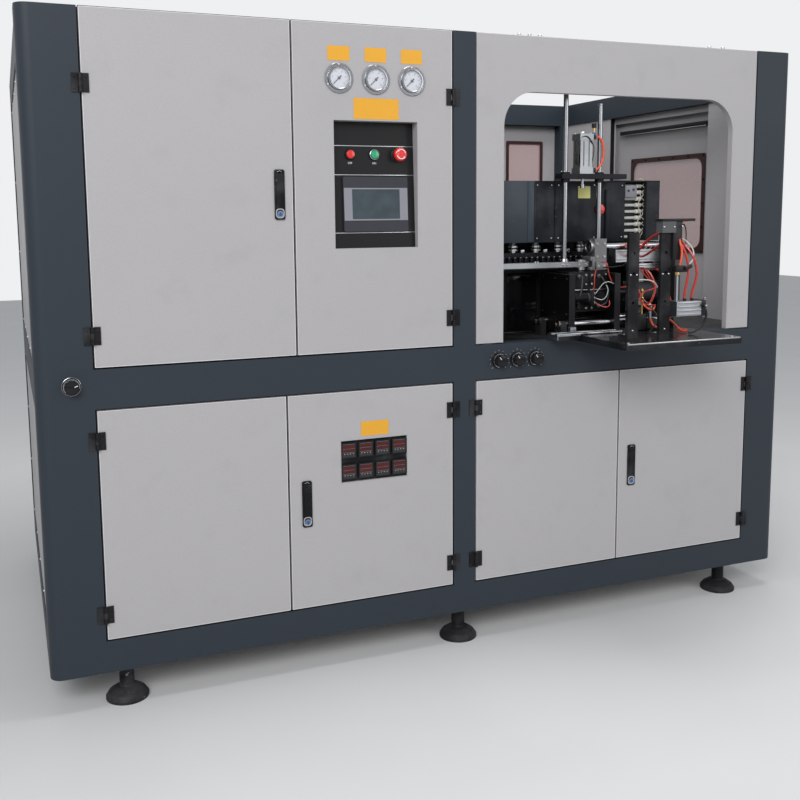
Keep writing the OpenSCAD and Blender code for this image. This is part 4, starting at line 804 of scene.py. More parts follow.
def control_panel():
    low, high, mid, _ = seen_middle("control_panel")
    panel = shift((mid, low.y, low.z)) @ Matrix.Rotation(-LEAN, 4, "X") @ on_face(0, 0)
    half = (high.x - low.x) / 2 - 0.5
    stop_x, start_x, emergency_x, button_y, words_y = -70.5, 4.5, 79.5, 272, 247

    def screen_place(out):
        return shift((start_x, 127.5, out))

    trim = Shape(panel).use(BRIGHT)
    for y in (44.5, 213, 297):
        trim.block((-half, y - 1.2, 0), (half, y + 1.2, 1.2), 0.4)
    trim.done("panel_lines", "control_door", "gauge_metal")
    screen = Shape(panel)
    screen.use(SCREEN_SILVER).plate(rounded(199, 95, 1.5), 0.9, screen_place(8), rounded(149, 87, 2))
    screen.use(LCD).plate(rounded(150, 88, 1), 0.8, screen_place(7.2))
    screen.use(SCREEN_GREY).plate(rounded(200, 158, 4), 0.5, screen_place(7.9), rounded(197, 98, 1.5))
    screen.done("screen_face", "control_door", "screen")
    for name, x, paint in (("stop", stop_x, RED), ("start", start_x, GREEN)):
        centre = (x, button_y, 0)
        collar = Shape(panel).use(PLASTIC)
        collar.hoop([(13.2, 0), (16.4, 0), (16.2, 3), (15.0, 5.4), (13.2, 5.4)], centre, UP)
        if name == "start":
            bright_rim = [(12.6, 4.6), (15.4, 4.6), (15.0, 6.6), (13.6, 7.4), (12.6, 6.6)]
            collar.use(BRIGHT).hoop(bright_rim, centre, UP)
        collar.done(name + "_collar", "control_door", "black_plastic")
        cap = Shape(panel).use(paint)
        cap.turned([(0, 8.6), (11.9, 8.6), (11.6, 9.8), (8, 10.8), (0, 11.4)], centre, UP)
        cap.done(name + "_cap", name + "_button", "stop_red" if paint is RED else "start_green")
    centre = (emergency_x, button_y, 0)
    base = Shape(panel).use(PLASTIC)
    base.hoop([(12, 0), (21, 0), (21, 1.6), (16, 3.2), (12, 3.2)], centre, UP)
    base.done("emergency_stop_base", "control_door", "black_plastic")
    mushroom = [
        (0, 29.8), (7, 29.6), (12, 30.6), (15.5, 30.2), (18.6, 27.6), (20.2, 24), (20.2, 19.6), (17, 17.6),
        (0, 17.6),
    ]
    head = Shape(panel).use(RED)
    head.turned(mushroom, centre, UP, 44)
    head.use(MARK_WHITE)
    top = shift((emergency_x, button_y, 30.2))
    for start in (20, 200):
        turns = [top @ Matrix.Rotation(math.radians(start + a), 4, "Z") for a in (*range(0, 110, 11), 112)]
        for turn in turns[:-1]:
            head.block((12.4, -1.3, 0), (14.6, 1.3, 0.7), 0.2, turn)
        head.plate([(10.2, -1), (16.6, -1), (13.4, 4.4)], 0.7, turns[-1])
    head.done("emergency_stop_head", "emergency_stop", "stop_red")
    backs = Shape(panel)
    for x in (stop_x, start_x, emergency_x):
        backs.use(PLASTIC).block((x - 15, 250, -54), (x + 15, 294, -3.3), 2)
        backs.use(SCREEN_SILVER).block((x - 12, 254, -62), (x - 2, 290, -53), 1.5)
        backs.block((x + 2, 254, -62), (x + 12, 290, -53), 1.5)
    backs.done("contact_blocks", "control_door", "black_plastic")
    words = Shape(panel).use(MARK_WHITE)
    write(words, "OFF", 6, shift((stop_x, words_y, 0)), 0.3)
    write(words, "ON", 6, shift((start_x, words_y, 0)), 0.3)
    words.done("button_words", "control_door", "black_plastic")


def controllers():
    low, high = cabinet_box("temperature_controllers")
    front, pitch = -low.y, 54
    frames, glass, keys, marks = Shape(), Shape().use(DISPLAY_RED), Shape().use(SCREEN_GREY), Shape()
    for x in [low.x + 24 + k * pitch for k in range(4)]:
        for z in (low.z + 24, high.z - 24):
            frames.use(PLASTIC).face_plate((x, z, front), (46, 46, 2.5), 1.2, (41, 41, 1.5))
            frames.use(MARK_BLACK).face_plate((x, z, front), (41.5, 41.5, 1), 0.5)
            glass.face_plate((x, z + 12.2, front + 0.5), (37, 11.5, 0.8), 0.5)
            glass.face_plate((x, z - 0.2, front + 0.5), (37, 9.5, 0.8), 0.5)
            marks.use(SCREEN_SILVER)
            for dz in (18.8, 5.4, -6):
                marks.face_plate((x, z + dz, front + 0.6), (37, 0.5, 0.2, 1), 0.25)
            marks.use(MARK_WHITE)
            for k in range(4):
                key_x = x - 13.5 + 9 * k
                keys.face_plate((key_x, z - 15, front + 0.4), (6, 4, 1), 1.2)
                marks.face_plate((key_x, z - 10.4, front + 0.5), (3.4, 0.8, 0.3, 1), 0.25)
            lit = (x - 16, -front - 0.9, z + 2.4)
            marks.use(RED).turned([(0, 0), (1, 0), (0.8, 0.5), (0, 0.6)], lit, FRONT, 12)
    for shape, name in ((frames, "frames"), (glass, "displays"), (keys, "keys"), (marks, "marks")):
        shape.done("controller_" + name, "lower_door_2", "black_plastic")
    low, high, x, z = seen_middle("controller_panel")
    w, h = high.x - low.x - 24, high.z - low.z - 24
    lining = Shape().use(PALE)
    lining.face_plate((x, z, -8.0), (w - 0.2, h - 0.2, 0.6, 1), 8.4, (w - 4, h - 4, 0.5, 1))
    lining.done("cutout_lining", "lower_door_2", "panel_paint")


def knobs():
    marks = Shape().use(MARK_WHITE)
    for name in ("heater_knob_1", "heater_knob_2", "heater_knob_3", "main_switch"):
        low, _, x, z = seen_middle(name)
        top, centre = -low.y, (x, 0, z)
        dome = [
            (0, top - 3), (17.4, top - 3), (17.8, top - 1), (16.6, top + 1.4), (12, top + 2.2), (0, top + 1.6),
        ]
        cap = Shape()
        cap.use(GLOSS_BLACK).turned(dome, centre)
        cap.use(BRIGHT).hoop([(20.2, 4.8), (21.6, 4.8), (21.6, 6.2), (20.2, 6.2)], centre)
        angle = math.radians(-70 if name == "main_switch" else 35)
        line = shift(centre) @ Matrix.Rotation(-angle, 4, "Y")
        cap.use(MARK_WHITE).block((-0.9, -top - 2.5, 7), (0.9, -top - 1.6, 16.4), 0.2, line)
        cap.done(name + "_cap", name, "black_plastic")
        ring = Shape().use(PLASTIC)
        ring.hoop([(23.6, 0), (26.4, 0), (26.4, 0.7), (25.6, 1.2), (23.6, 1.2)], centre)
        if name == "main_switch":
            bright_rim = [(23.8, 0), (25.6, 0), (25.4, 1.8), (24.6, 2.2), (23.8, 2.0)]
            ring.use(CHROME).hoop(bright_rim, centre)
        else:
            for k in range(11):
                turn = shift(centre) @ Matrix.Rotation(math.pi / 2 - dial_angle(k), 4, "Y")
                marks.block((-0.35, -0.3, 29.6), (0.35, 0.0, 32 if k % 5 else 33.6), 0.05, turn)
        ring.done(name + "_ring", FRAME, "gauge_metal")
    marks.done("knob_marks", FRAME, "panel_paint")


def pane_borders():
    low, high = cabinet_box("side_pane")
    w, h = high.y - low.y, high.z - low.z
    y, z = (low.y + high.y) / 2, (low.z + high.z) / 2
    place = Matrix(((0, 0, 1, low.x - 0.1), (1, 0, 0, y), (0, 1, 0, z), (0, 0, 0, 1)))
    border = Shape().use(PANE_EDGE)
    border.plate(rounded(w + 2, h + 2, 8, 8), 2.6, place, rounded(w - 34, h - 34, 30, 8))
    inner = place @ shift((0, 0, -7.4))
    border.plate(rounded(w - 2, h - 2, 6, 8), 2.4, inner, rounded(w - 40, h - 40, 38, 8))
    border.done("side_pane_border", "side_door", "tinted_pane")
    bolts = []
    for k in range(6):
        bolts += grid(low.x - 7.2, low.y + 12 + (w - 24) * k / 5, (low.z + 10, high.z - 10), LEFT)
    for k in range(1, 4):
        bolts += grid(low.x - 7.2, (low.y + 10, high.y - 10), low.z + 10 + (h - 20) * k / 4, LEFT)
    set_out("side_pane_bolts", HEX_BOLT, bolts, "side_door", BLACK_COAT, 0.9)
    low, high = cabinet_box("side_door")
    z = high.z - 67
    trim = Shape().use(PLASTIC)
    trim.block((high.x - 4, low.y + 66, z - 10), (high.x - 2.2, high.y - 66, z + 10), 0.4)
    trim.block((low.x - 1, low.y + 60, z - 8), (low.x + 0.6, high.y - 60, z + 8), 0.4)
    trim.use(ZINC).block((low.x - 1.6, low.y + 60, z - 11), (low.x + 0.6, high.y - 60, z - 8.2), 0.4)
    trim.done("side_door_grip", "side_door", "black_plastic")
    fold = Shape().use(PALE)
    for y0, y1 in ((low.y, low.y + 26), (high.y - 26, high.y)):
        fold.block((low.x - 1.6, y0, low.z), (low.x, y1, high.z), 0.4)
    for z0, z1 in ((low.z, low.z + 26), (high.z - 26, high.z)):
        fold.block((low.x - 1.5, low.y + 20, z0), (low.x, high.y - 20, z1), 0.4)
    fold.use(BRIGHT).block((low.x - 7, low.y + 4, low.z + 120), (low.x - 1.6, low.y + 16, high.z - 120), 2)
    fold.done("side_door_folds", "side_door", "panel_paint")
    brush = Shape().use(PLASTIC)
    for y in (high.y - 19, low.y + 16):
        brush.block((1198.1, y, low.z + 1), (low.x - 2.6, y + 3, high.z - 1), 0.3)
    brush.done("side_door_brushes", FRAME, "black_plastic")
    low, high, x, z = seen_middle("rear_pane")
    w, h = high.x - low.x, high.z - low.z
    border = Shape().use(PANE_EDGE)
    border.face_plate((x, z, -low.y), (w + 6, h + 6, 8), 2.5, (w - 22, h - 22, 6))
    border.done("rear_pane_border", FRAME, "tinted_pane")


def panel_screws():
    """Screws round the fixed sheets of the back and the two ends."""
    low, high = cabinet_box("rear_panels")
    under_rail = 733
    rows = (low.z + 14, under_rail, cabinet_box("table_plate")[0].z + 14, high.z - 14)
    levels = (rows[:2], rows[2:])
    back, y = [], high.y - SEAT
    for x0, x1 in ((low.x, -33), (33, high.x)):
        back += grid([x0 + 16 + (x1 - x0 - 32) * k / 4 for k in range(5)], y, rows, BACK)
        for (bottom, top), k in itertools.product(levels, (1, 2)):
            back += grid((x0 + 16, x1 - 16), y, bottom + (top - bottom) * k / 3, BACK)
    set_out("rear_panel_screws", DOME_SCREW, back, size=1.5)
    low, high = cabinet_box("side_panels")
    left, right, edges = low.x + SEAT, high.x - SEAT, (118, 1352)
    ends = []
    for k in range(5):
        y = edges[0] + (edges[1] - edges[0]) * k / 4
        ends += grid(left, y, rows, LEFT) + grid(right, y, rows[:2], RIGHT)
    for k, y in itertools.product((1, 2), edges):
        lower, upper = (bottom + (top - bottom) * k / 3 for bottom, top in levels)
        ends += grid(left, y, (lower, upper), LEFT) + grid(right, y, lower, RIGHT)
    set_out("end_panel_screws", DOME_SCREW, ends, size=1.5)


def feet():
    low, high = cabinet_box("levelling_feet")
    # The studs take the black coat: partly their dark look, partly painted shade of the shadow under the
    # cabinet.
    studs = Shape().use(BLACK_COAT)
    for x, y in itertools.product((-1045, 0, 1045), (low.y + 60, high.y - 60)):
        studs.nut((x, y, -20), UP, 36, 14, x * 0.01)
        studs.rod((x, y, -66), (x, y, -10), 20.4, 20, 1)
        for k in range(9):
            studs.turned([(20.3, 0), (21.3, 1.2), (20.3, 2.4)], (x, y, -62 + k * 4), UP, 24)
    studs.done("foot_studs", FRAME, "feet_rubber")


def top_bolts():
    """Small studs of the bay's roof fixings on the top edge."""
    set_out("top_edge_studs", HEX_BOLT, grid((190, 226, 262, 905, 960), 12, 1800, UP), size=1.5)


# ---------- the process bay ----------

PART_X, STATION_Y = 468, 85
ROD_X, SPINDLE_Z, RAM_Y = (403, 533), 1150, -207
OVEN_Z = 1165, 1365
HOLDER_PITCH, LINK_PITCH = 86.5, 21.5


def stretch_head():
    screws = []
    top = cabinet_box("lift_crossbar")[1].z - SEAT
    for x in ROD_X:
        for a in map(math.radians, range(45, 405, 90)):
            screws.append(((x + 11.5 * math.cos(a), STATION_Y + 11.5 * math.sin(a), top), UP))
    set_out("bush_screws", SOCKET_SCREW, screws, "lift_crossbar", size=0.9)
    low, high = cabinet_box("stretch_cylinder")
    ends = grid((low.x + 6.5, high.x - 6.5), (low.y + 6.5, high.y - 6.5), high.z - SEAT, UP)
    set_out("cylinder_screws", SOCKET_SCREW, ends, "lift_crossbar", size=1.1)
    x, y = high.x + 12, STATION_Y - 8
    fit = Shape().use(PLASTIC)
    for z in (low.z + 12, high.z - 10):
        fit.rod((high.x - 1, y, z), (x, y, z), 6.5, 20, 1)
        fit.block((high.x + 6, y - 7, z - 7), (high.x + 18, y + 7, z + 7), 2)
    fit.use(BLUE_PLASTIC).turned([(0, 0), (7, 0), (7, 6), (5, 8), (0, 8)], (x, y, high.z - 3), UP, 20)
    fit.use(BRASS).rod((x, y, high.z + 5), (x, y, high.z + 22), 4, 16)
    fit.use(PLASTIC).rod((x, y, high.z + 20), (x, y, high.z + 36), 8, 18, 2)
    fit.use(BLACK_COAT).block((low.x - 4, low.y + 8, low.z + 30), (low.x + 1, low.y + 22, low.z + 64), 1)
    fit.use(ZINC).nut((PART_X, STATION_Y, high.z + 4), UP, 16, 8)
    fit.done("cylinder_fittings", "lift_crossbar", "black_plastic")
    x += 3
    loop = [
        (x, y, high.z - 8), (x + 12, y - 2, high.z - 8), (x + 26, y - 6, high.z - 26),
        (x + 30, y - 8, high.z - 62), (x + 22, y - 5, high.z - 98), (x + 8, y, low.z + 14), (x, y, low.z + 12),
    ]
    hoses("cylinder_hose", 3.6, HOSE_RED, [loop], "lift_crossbar")
    lead = [
        (low.x - 2, low.y + 15, low.z + 60), (low.x - 10, low.y + 10, low.z + 84),
        (low.x + 2, low.y + 2, low.z + 112), (low.x + 26, low.y - 3, low.z + 118),
        (high.x + 4, low.y + 4, low.z + 84), (high.x + 3, low.y + 14, low.z + 34),
    ]
    hoses("cylinder_lead", 1.6, WIRE_BLACK, [lead], "lift_crossbar", 8)
    top = cabinet_box("head_bar")[1].z
    collar = Shape().use(CHROME)
    wall = [(8.1, 0), (15, 0), (15, 5), (12, 12), (8.1, 12)]
    collar.hoop(wall, (ROD_X[0], STATION_Y, top - 7), UP, 28)
    collar.done("rod_collars", FRAME, "black_fitting")
    row = (108, 122, 150, 300)
    bolts = grid(row, STATION_Y - 8, top - 6.2, UP) + grid(row, STATION_Y + 8, top - 6.2, UP)
    bolts += grid((112, 395, 411, 455, 481), STATION_Y - 12.8, top - 15, FRONT)
    set_out("head_bar_screws", SOCKET_SCREW, bolts, size=1.2)


def bracket_details():
    low, high = cabinet_box("bearing_bracket")
    race = [(11.2, 0), (23, 0), (24, 1), (24, 9), (22.5, 11), (16, 11), (15.2, 10), (15.2, 0.5), (11.2, 0.5)]
    bush = [(11.2, 1), (15.6, 1), (15.6, 8), (13, 9.5), (11.2, 9.5)]
    ring = Shape()
    ring.use(ALUMINIUM).hoop(race, (low.x + SEAT, STATION_Y, SPINDLE_Z), LEFT, 40)
    ring.use(PLASTIC).hoop(bush, (low.x, STATION_Y, SPINDLE_Z), LEFT, 32)
    ring.use(CAST_GREY).block((low.x + 3, low.y - 8, low.z), (high.x - 3, low.y + 2, low.z + 28), 3)
    ring.block((low.x - 16, low.y - 2, low.z), (low.x + 2, high.y + 2, low.z + 12), 2)
    ring.block((low.x - 16, low.y - 2, low.z + 31), (low.x + 2, high.y + 2, low.z + 46), 2)
    ring.block((low.x - 10, low.y - 4, low.z), (low.x + 1, low.y + 2, low.z + 46), 2)
    ring.done("bracket_ring", slot="clear_aluminium")
    screws = grid((low.x + 12, high.x - 12), low.y - 4.8, low.z + 15, FRONT)
    for up in (88, 46):
        screws += grid((low.x + 9, high.x - 9), low.y + SEAT, low.z + up, FRONT)
    set_out("bracket_screws", SOCKET_SCREW, screws, size=1.3)


def oven_details():
    low, high = cabinet_box("oven_housing")
    z0, z1 = OVEN_Z
    trays = (low.x, 322, 400, 563, 676)
    skin, screws = Shape(), []
    for k, (x0, x1) in enumerate(zip(trays, trays[1:])):
        y = low.y + k % 2 * 4
        # The first tray takes the lighter blue-grey as a painted reflection; the others are black.
        skin.use(OVEN_BLACK if k else OVEN_PAINTED_REFLECTION)
        skin.block((x0 + 1.2, y - 1.2, z0 + 1), (x1 - 1.2, y + 0.3, z1 + 1.4), 0.5)
        for z in (z0 + 14, z1 - 12):
            screws += grid((x0 + 12, x1 - 12), y - 1.1, z, FRONT)
    seam = trays[1]
    # Strip by the seam in the same painted-reflection blue.
    skin.use(OVEN_PAINTED_REFLECTION).block((seam - 26, low.y - 3, z0 + 2), (seam, low.y - 1, z1 + 1), 0.6)
    skin.use(OVEN_BLACK).block((seam - 3, low.y - 4.5, z0), (seam + 3, low.y + 1, z1 + 1), 0.8)
    skin.block((594, low.y - 6, z0 + 4), (612, low.y + 3, z1 - 26), 3)
    knob = [(0, 0), (15, 0), (17, 3), (17, 6), (15, 7), (0, 7)]
    skin.use(RED).turned(knob, (572, low.y - 1, z1 - 92), FRONT, 32)
    skin.use(OVEN_BLACK).block((630, low.y - 1, z1 + 1), (high.x, high.y - 4, z1 + 5), 1)
    skin.done("oven_skins", slot="oven_steel")
    set_out("oven_screws", DOME_SCREW, screws, size=0.9)
    tag = Shape().use(TAG)
    tag.face_plate((510, 1330, 1.2 - low.y), (47, 40, 2), 1.2)
    tag.done("oven_tag", slot="panel_paint")
    set_out("tag_screws", DOME_SCREW, grid((491, 529), low.y - 2.3, (1314, 1346), FRONT), size=0.6)
    end, y = cabinet_box("heating_lamps")[1].x, low.y + 30
    base = [(0, 0), (5, 0), (7.3, 1), (7.3, 8), (6, 9), (6, 12), (7.3, 13), (7.3, 20), (5, 22), (0, 22)]
    tips, lugs, wires = Shape().use(CERAMIC), Shape().use(BRASS), []
    for k in range(9):
        z = z0 + 13 + k * (z1 - z0 - 26) / 8
        tips.turned(base, (end - 22, y, z), RIGHT, 20)
        lugs.rod((end - 1, y, z), (end + 3.4, y, z), 2.2, 10, 0.4)
        reach = 5 - 4 * math.cos(k * 2.1)
        wires.append([
            (end - 3, y - 6, z), (end + reach - 6, y - 10, z + 3), (end + reach, y - 13, z + 12),
            (end - 4, y - 16, z + 22), (end - 18, y - 18, z + 24),
        ])
    wires.append([(end - 16 + 6 * math.sin(k * 1.7), y - 17, z0 + 18 + k * 16) for k in range(10)])
    tips.done("lamp_ends", slot="lamp_quartz")
    lugs.use(SCREEN_SILVER).block((681, y - 21, z1 - 52), (728, y - 18, z1 - 14), 1)
    lugs.use(MARK_BLACK)
    for x, z in ((694, z1 - 30), (714, z1 - 26)):
        lugs.turned([(0, 0), (5, 0), (5, 1), (0, 1)], (x, y - 21, z), FRONT, 20)
    lugs.use(OVEN_BLACK).block((676, y + 6, z0), (762, y + 8, z1), 0.5)
    lugs.done("lamp_terminals")
    hoses("lamp_wires", 1.4, WIRE_WHITE, wires, sides=8, step=4)


def preform_line():
    low, high = cabinet_box("preform_carrier")
    y, z = low.y + 3.5, low.z + 22
    xs = [low.x + 14]
    while xs[-1] + LINK_PITCH < high.x - 10:
        xs.append(xs[-1] + LINK_PITCH)
    wall = [(0, 0), (4.6, 0), (4.6, 1.6), (2, 1.6), (2, 2.6), (0, 2.6)]
    roller = small(lambda shape: shape.turned(wall, ORIGIN, UP, 16))
    links = [((x, y, z), UP, 0) for x in xs]
    set_out("carrier_rollers", roller, links, "preform_carrier", material=BRIGHT)
    bars = Shape().use(BLACK_COAT)
    for k, x in enumerate(xs[:-1]):
        bars.plate(rounded(27, 6, 3, 4), 1.2, shift((x + LINK_PITCH / 2, y, z + (k % 2) * 1.3)))
    bars.done("carrier_links", "preform_carrier", "black_fitting")
    y, z = sum(corner.y for corner in cabinet_box("preform_holders")) / 2, high.z
    collet = [(0, 25), (17.2, 25), (17.6, 26), (14, 28), (13.4, 33), (11.6, 34), (11, 39), (9, 41.4), (0, 41.4)]
    band = [(19.1, 12.6), (19.6, 13.4), (19.6, 16), (19.1, 16.8), (15, 16.8), (15, 12.6)]
    details = Shape()
    for k in range(6):
        x = cabinet_box("preform_holders")[1].x - 19 - k * HOLDER_PITCH
        details.use(BRIGHT).turned(collet, (x, y, z), UP, 32)
        details.use(BLACK_ANODISED).hoop(band, (x, y, z), UP, 32)
        details.use(BRIGHT).block((x + 22, y - 20, z - 2), (x + 36, y - 8, z + 10), 1.5)
        details.rod((x + 29, y - 22, z + 4), (x + 29, y - 12, z + 4), 3.2, 12)
    details.done("holder_details", "preform_carrier", "clear_aluminium")


def clamp_details():
    low, high = cabinet_box("fixed_platen")
    bolts = grid(low.x + SEAT, (low.y + 12, STATION_Y, high.y - 12), (low.z + 60, high.z - 20), LEFT)
    set_out("fixed_platen_bolts", HEX_BOLT, bolts, material=BLACK_ANODISED, size=1.3)
    low, high = cabinet_box("moving_platen")
    flange = 565
    bolts = grid(flange - SEAT, (low.y + 12, high.y - 12), (low.z + 60, high.z - 14), RIGHT)
    set_out("moving_platen_bolts", HEX_BOLT, bolts, "moving_platen", size=1.3)
    front = STATION_Y - 46
    for name, body, x0, x1 in (("fixed", FRAME, 396, 465), ("moving", "moving_platen", 471, 540)):
        face = Shape()
        face.use(BLACK_COAT).block((x0, front - 3, 942), (x1, front + 0.5, 1068), 1.2)
        face.use(BRIGHT).block((x0 + 2, front - 3.6, 1010), (x1 - 2, front - 2.6, 1013), 0.2)
        face.use(CAST_GREY)
        for z in (958, 1056):
            face.nut((x0 + 34, front - 6, z), FRONT, 11, 7)
            face.rod((x0 + 34, front - 3, z), (x0 + 34, front - 13, z), 3.2, 14, 0.6)
        face.done(name + "_mould_face", body, "mould_steel")
        screws = grid((x0 + 8, x1 - 8), front - 2.8, (952, 1030, 1060), FRONT)
        set_out(name + "_mould_screws", SOCKET_SCREW, screws, body, size=1.1)
    for name, body, x, second, third, middle, fifth in (
        ("fixed", FRAME, 430, 24, 1052, (420, 412), 20),
        ("moving", "moving_platen", 505, 26, 1050, (522, 520), 22),
    ):
        loop = [
            (x, front - 12, 1056), (x, front - second, third), (middle[0], front - 34, 1010),
            (middle[1], front - 30, 972), (x, front - fifth, 960), (x, front - 12, 958),
        ]
        hoses(name + "_mould_hose", 3.0, WIRE_BLACK, [loop], body)
    lock = Shape()
    sleeve = [(16.2, 0), (18, 0), (18, 50), (16.2, 50)]
    lock.use(BLACK_ANODISED).hoop(sleeve, (397, 19, 987), RIGHT, 32)
    lock.use(CHROME)
    for z in (970, 985, 1000):
        lock.block((466, 8, z - 5.5), (476, 26, z + 5.5), 1.5)
        lock.rod((476, 16, z), (482, 16, z), 3.4, 14, 0.6)
    lock.use(BLACK_COAT).block((455, -2, 962), (467, 40, 1010), 2)
    lock.done("lock_cylinder_parts", slot="clear_aluminium")
    hoses("lock_leads_white", 1.2, HOSE_CLEAR, [
        [(482, 16, 1000), (490, 6, 1018), (500, -2, 1034), (520, -2, 1038), (545, 4, 1030)],
        [(482, 16, 985), (496, 2, 980), (506, -8, 990), (512, -10, 1012), (508, -6, 1028)],
    ], sides=8)
    hoses("lock_leads_red", 1.8, HOSE_DARK, [
        [(482, 16, 970), (494, 2, 960), (508, -8, 956), (522, -4, 962), (530, 8, 976)],
        [(476, 18, 1004), (470, 6, 1030), (468, 2, 1056), (478, 10, 1078)],
    ], sides=8)


def manifold_details():
    front, back = STATION_Y - 20, STATION_Y + 21
    parts = Shape().use(MOULD_STEEL_PAINTED_SHADE)
    # Two thin lines in the mould steel that is darkened as painted shade.
    for z in (1104, 1131):
        parts.block((592, front - 0.4, z - 0.9), (779, STATION_Y - 19.8, z + 0.9), 0.2)
    parts.use(ALUMINIUM_X).block((589, front - 1, 1099), (593, back, 1136), 1)
    for x in (622, 655, 690, 712, 734, 756):
        parts.use(CHROME if x > 680 else PLASTIC)
        parts.rod((x, STATION_Y - 10, 1137), (x, STATION_Y - 10, 1147), 5.2, 18, 1)
        parts.block((x - 5, front, 1142), (x + 5, STATION_Y - 6, 1150), 1.6)
    parts.use(ALUMINIUM_X).block((652, front, 1066), (779, back - 4, 1090), 1.2)
    for x in (660, 750):
        parts.block((x, STATION_Y - 8, 1089), (x + 20, STATION_Y + 8, 1098), 1)
    parts.use(PLASTIC)
    for z in (1072, 1084):
        parts.block((654, STATION_Y - 20.6, z - 1.2), (777, STATION_Y - 19.6, z + 1.2), 0.3)
    parts.use(ZINC)
    for x, y, z in itertools.product((657, 764), (56, 114), (966, 1024)):
        parts.rod((x - 1, y, z), (x + 17, y, z), 3.4, 12)
    parts.use(BLACK_COAT).block((600, -42, 878), (640, -8, 930), 3)
    parts.block((660, -20, 878), (700, 30, 912), 3)
    parts.use(CHROME).rod((668, -22, 940), (668, -22, 912), 6, 18, 1)
    parts.rod((668, -22, 962), (668, -22, 938), 8.5, 20, 2)
    parts.use(BRASS)
    for z in (972, 984, 996, 1008):
        parts.nut((628, -34, z), UP, 9, 6, z)
        parts.rod((628, -34, z - 6), (628, -34, z + 6), 2.4, 10, 0.4)
    parts.rod((628, -34, 928), (628, -34, 972), 3, 12, 0.4)
    parts.done("manifold_parts", slot="clear_aluminium")


def upright_details():
    low, high = cabinet_box("table_uprights")
    first, second, top = low.x, high.x - 38, high.z
    valve = Shape().use(PLASTIC)
    valve.block((second - 8, -209, top + 35), (second + 116, -172, top + 43), 1.5)
    valve.block((second + 38, -204, top - 84), (second + 72, -166, top + 36), 2.5)
    for k in range(5):
        z = top - 72 + k * 19
        valve.use(CHROME if k in (1, 4) else PLASTIC)
        valve.rod((second + 71, -186, z), (second + 79, -186, z), 3.6, 14, 0.8)
    valve.use(CHROME).rod((second + 66, RAM_Y, top + 20), (second + 66, -212, top + 20), 3, 12, 0.6)
    valve.use(PLASTIC).block((second + 40, -219, 1077), (second + 84, -196, 1097), 3)
    valve.rod((second + 70, -222, 1088), (second + 96, -222, 1096), 6, 16, 1.5)
    valve.use(CHROME).rod((second + 84, RAM_Y, 1087), (second + 92, RAM_Y, 1087), 4.4, 14, 0.6)
    front, x0 = cabinet_box("air_units")[0].y, second + 38
    valve.use(ALUMINIUM_X)
    for z in (946, 958, 970, 982):
        valve.block((x0 + 4, front - 1, z - 3.4), (x0 + 100, front + 1, z + 3.4), 0.8)
    valve.use(PLASTIC).block((x0 + 92, front - 2, 939), (x0 + 110, front + 48, 989), 3)
    valve.rod((x0 + 109, RAM_Y, 964), (x0 + 120, RAM_Y, 964), 13, 24, 2)
    valve.rod((x0 + 100, front - 2, 972), (x0 + 100, front - 12, 972), 6, 16, 1)
    valve.use(CHROME).rod((x0 + 100, front - 12, 972), (x0 + 100, front - 18, 972), 4, 14, 1)
    valve.rod((x0 + 112, -222, 984), (x0 + 112, -222, 996), 4, 14, 1)
    valve.use(PLASTIC)
    for x in (x0 + 46, x0 + 74):
        valve.rod((x, RAM_Y, 987), (x, RAM_Y, 994), 6, 16, 1)
    valve.use(BRASS).rod((x0 + 16, RAM_Y, 1068), (x0 + 16, RAM_Y, 1080), 7, 6, 0.8)
    valve.done("upright_cylinder_parts", slot="clear_aluminium")
    screws = []
    for x in (first, second):
        for dx in (8, 30):
            screws += [((x + dx, -196.2, 1072), FRONT), ((x + dx, -166, 885.8), UP)]
        screws.append(((x + 19, -196.2, 900), FRONT))
    screws += grid((second + 2, second + 40), -206.2, top + 18, FRONT)
    set_out("upright_screws", DOME_SCREW, screws, material=BRIGHT, size=1.1)


def table_details():
    low, high = cabinet_box("table_plate")
    # Bright strip along the table's front top edge: a painted highlight on the black plate's edge.
    edge = Shape().use(BRIGHT)
    edge.block((low.x + 4, low.y - 0.4, high.z - 3.4), (high.x - 4, low.y + 2, high.z + 0.5), 0.5)
    edge.done("table_edge")
    screws = grid((low.x + 20, high.x - 20), low.y + 20, high.z - 3.2, UP)
    set_out("table_screws", SOCKET_SCREW, screws, size=1.6)
    rail = Shape()
    rail.use(BLACK_COAT).block((298, -58, 862), (381, 6, 876), 1)
    rail.use(ALUMINIUM_X).block((296, -58, 863), (299, 6, 879), 0.5)
    rail.block((296, -58.6, 875.5), (381, 6, 878), 0.6)
    for y in (-46, -12):
        rail.use(BRIGHT).block((297, y - 8, 877.6), (540, y + 8, 883), 1.2)
    rail.use(BLACK_COAT).block((381, -34, 876.2), (540, -24, 879), 0.6)
    rail.use(ALUMINIUM).block((356, -36, 878), (378, -20, 900), 1.5)
    cup = [(10.2, 0), (15, 0), (15, 4), (12, 6), (10.2, 6)]
    for y in (20, 150):
        rail.use(CHROME).hoop(cup, (345, y, 905), LEFT, 24)
        rail.use(BRASS).rod((340, y, 905), (334, y, 905), 5, 6, 0.5)
    rail.done("slide_rails")
    guard = Shape()
    guard.use(GLOSS_BLACK).block((40, 250, 857), (758, 253, 1072), 0.5)
    guard.use(PLASTIC)
    for x in (130, 262, 395, 520):
        guard.block((x, 244, 858), (x + 16, 251, 1072), 1)
    guard.use(BLACK_COAT).block((100, 232, 1060), (700, 251, 1074), 1)
    guard.done("station_guard", slot="black_fitting")


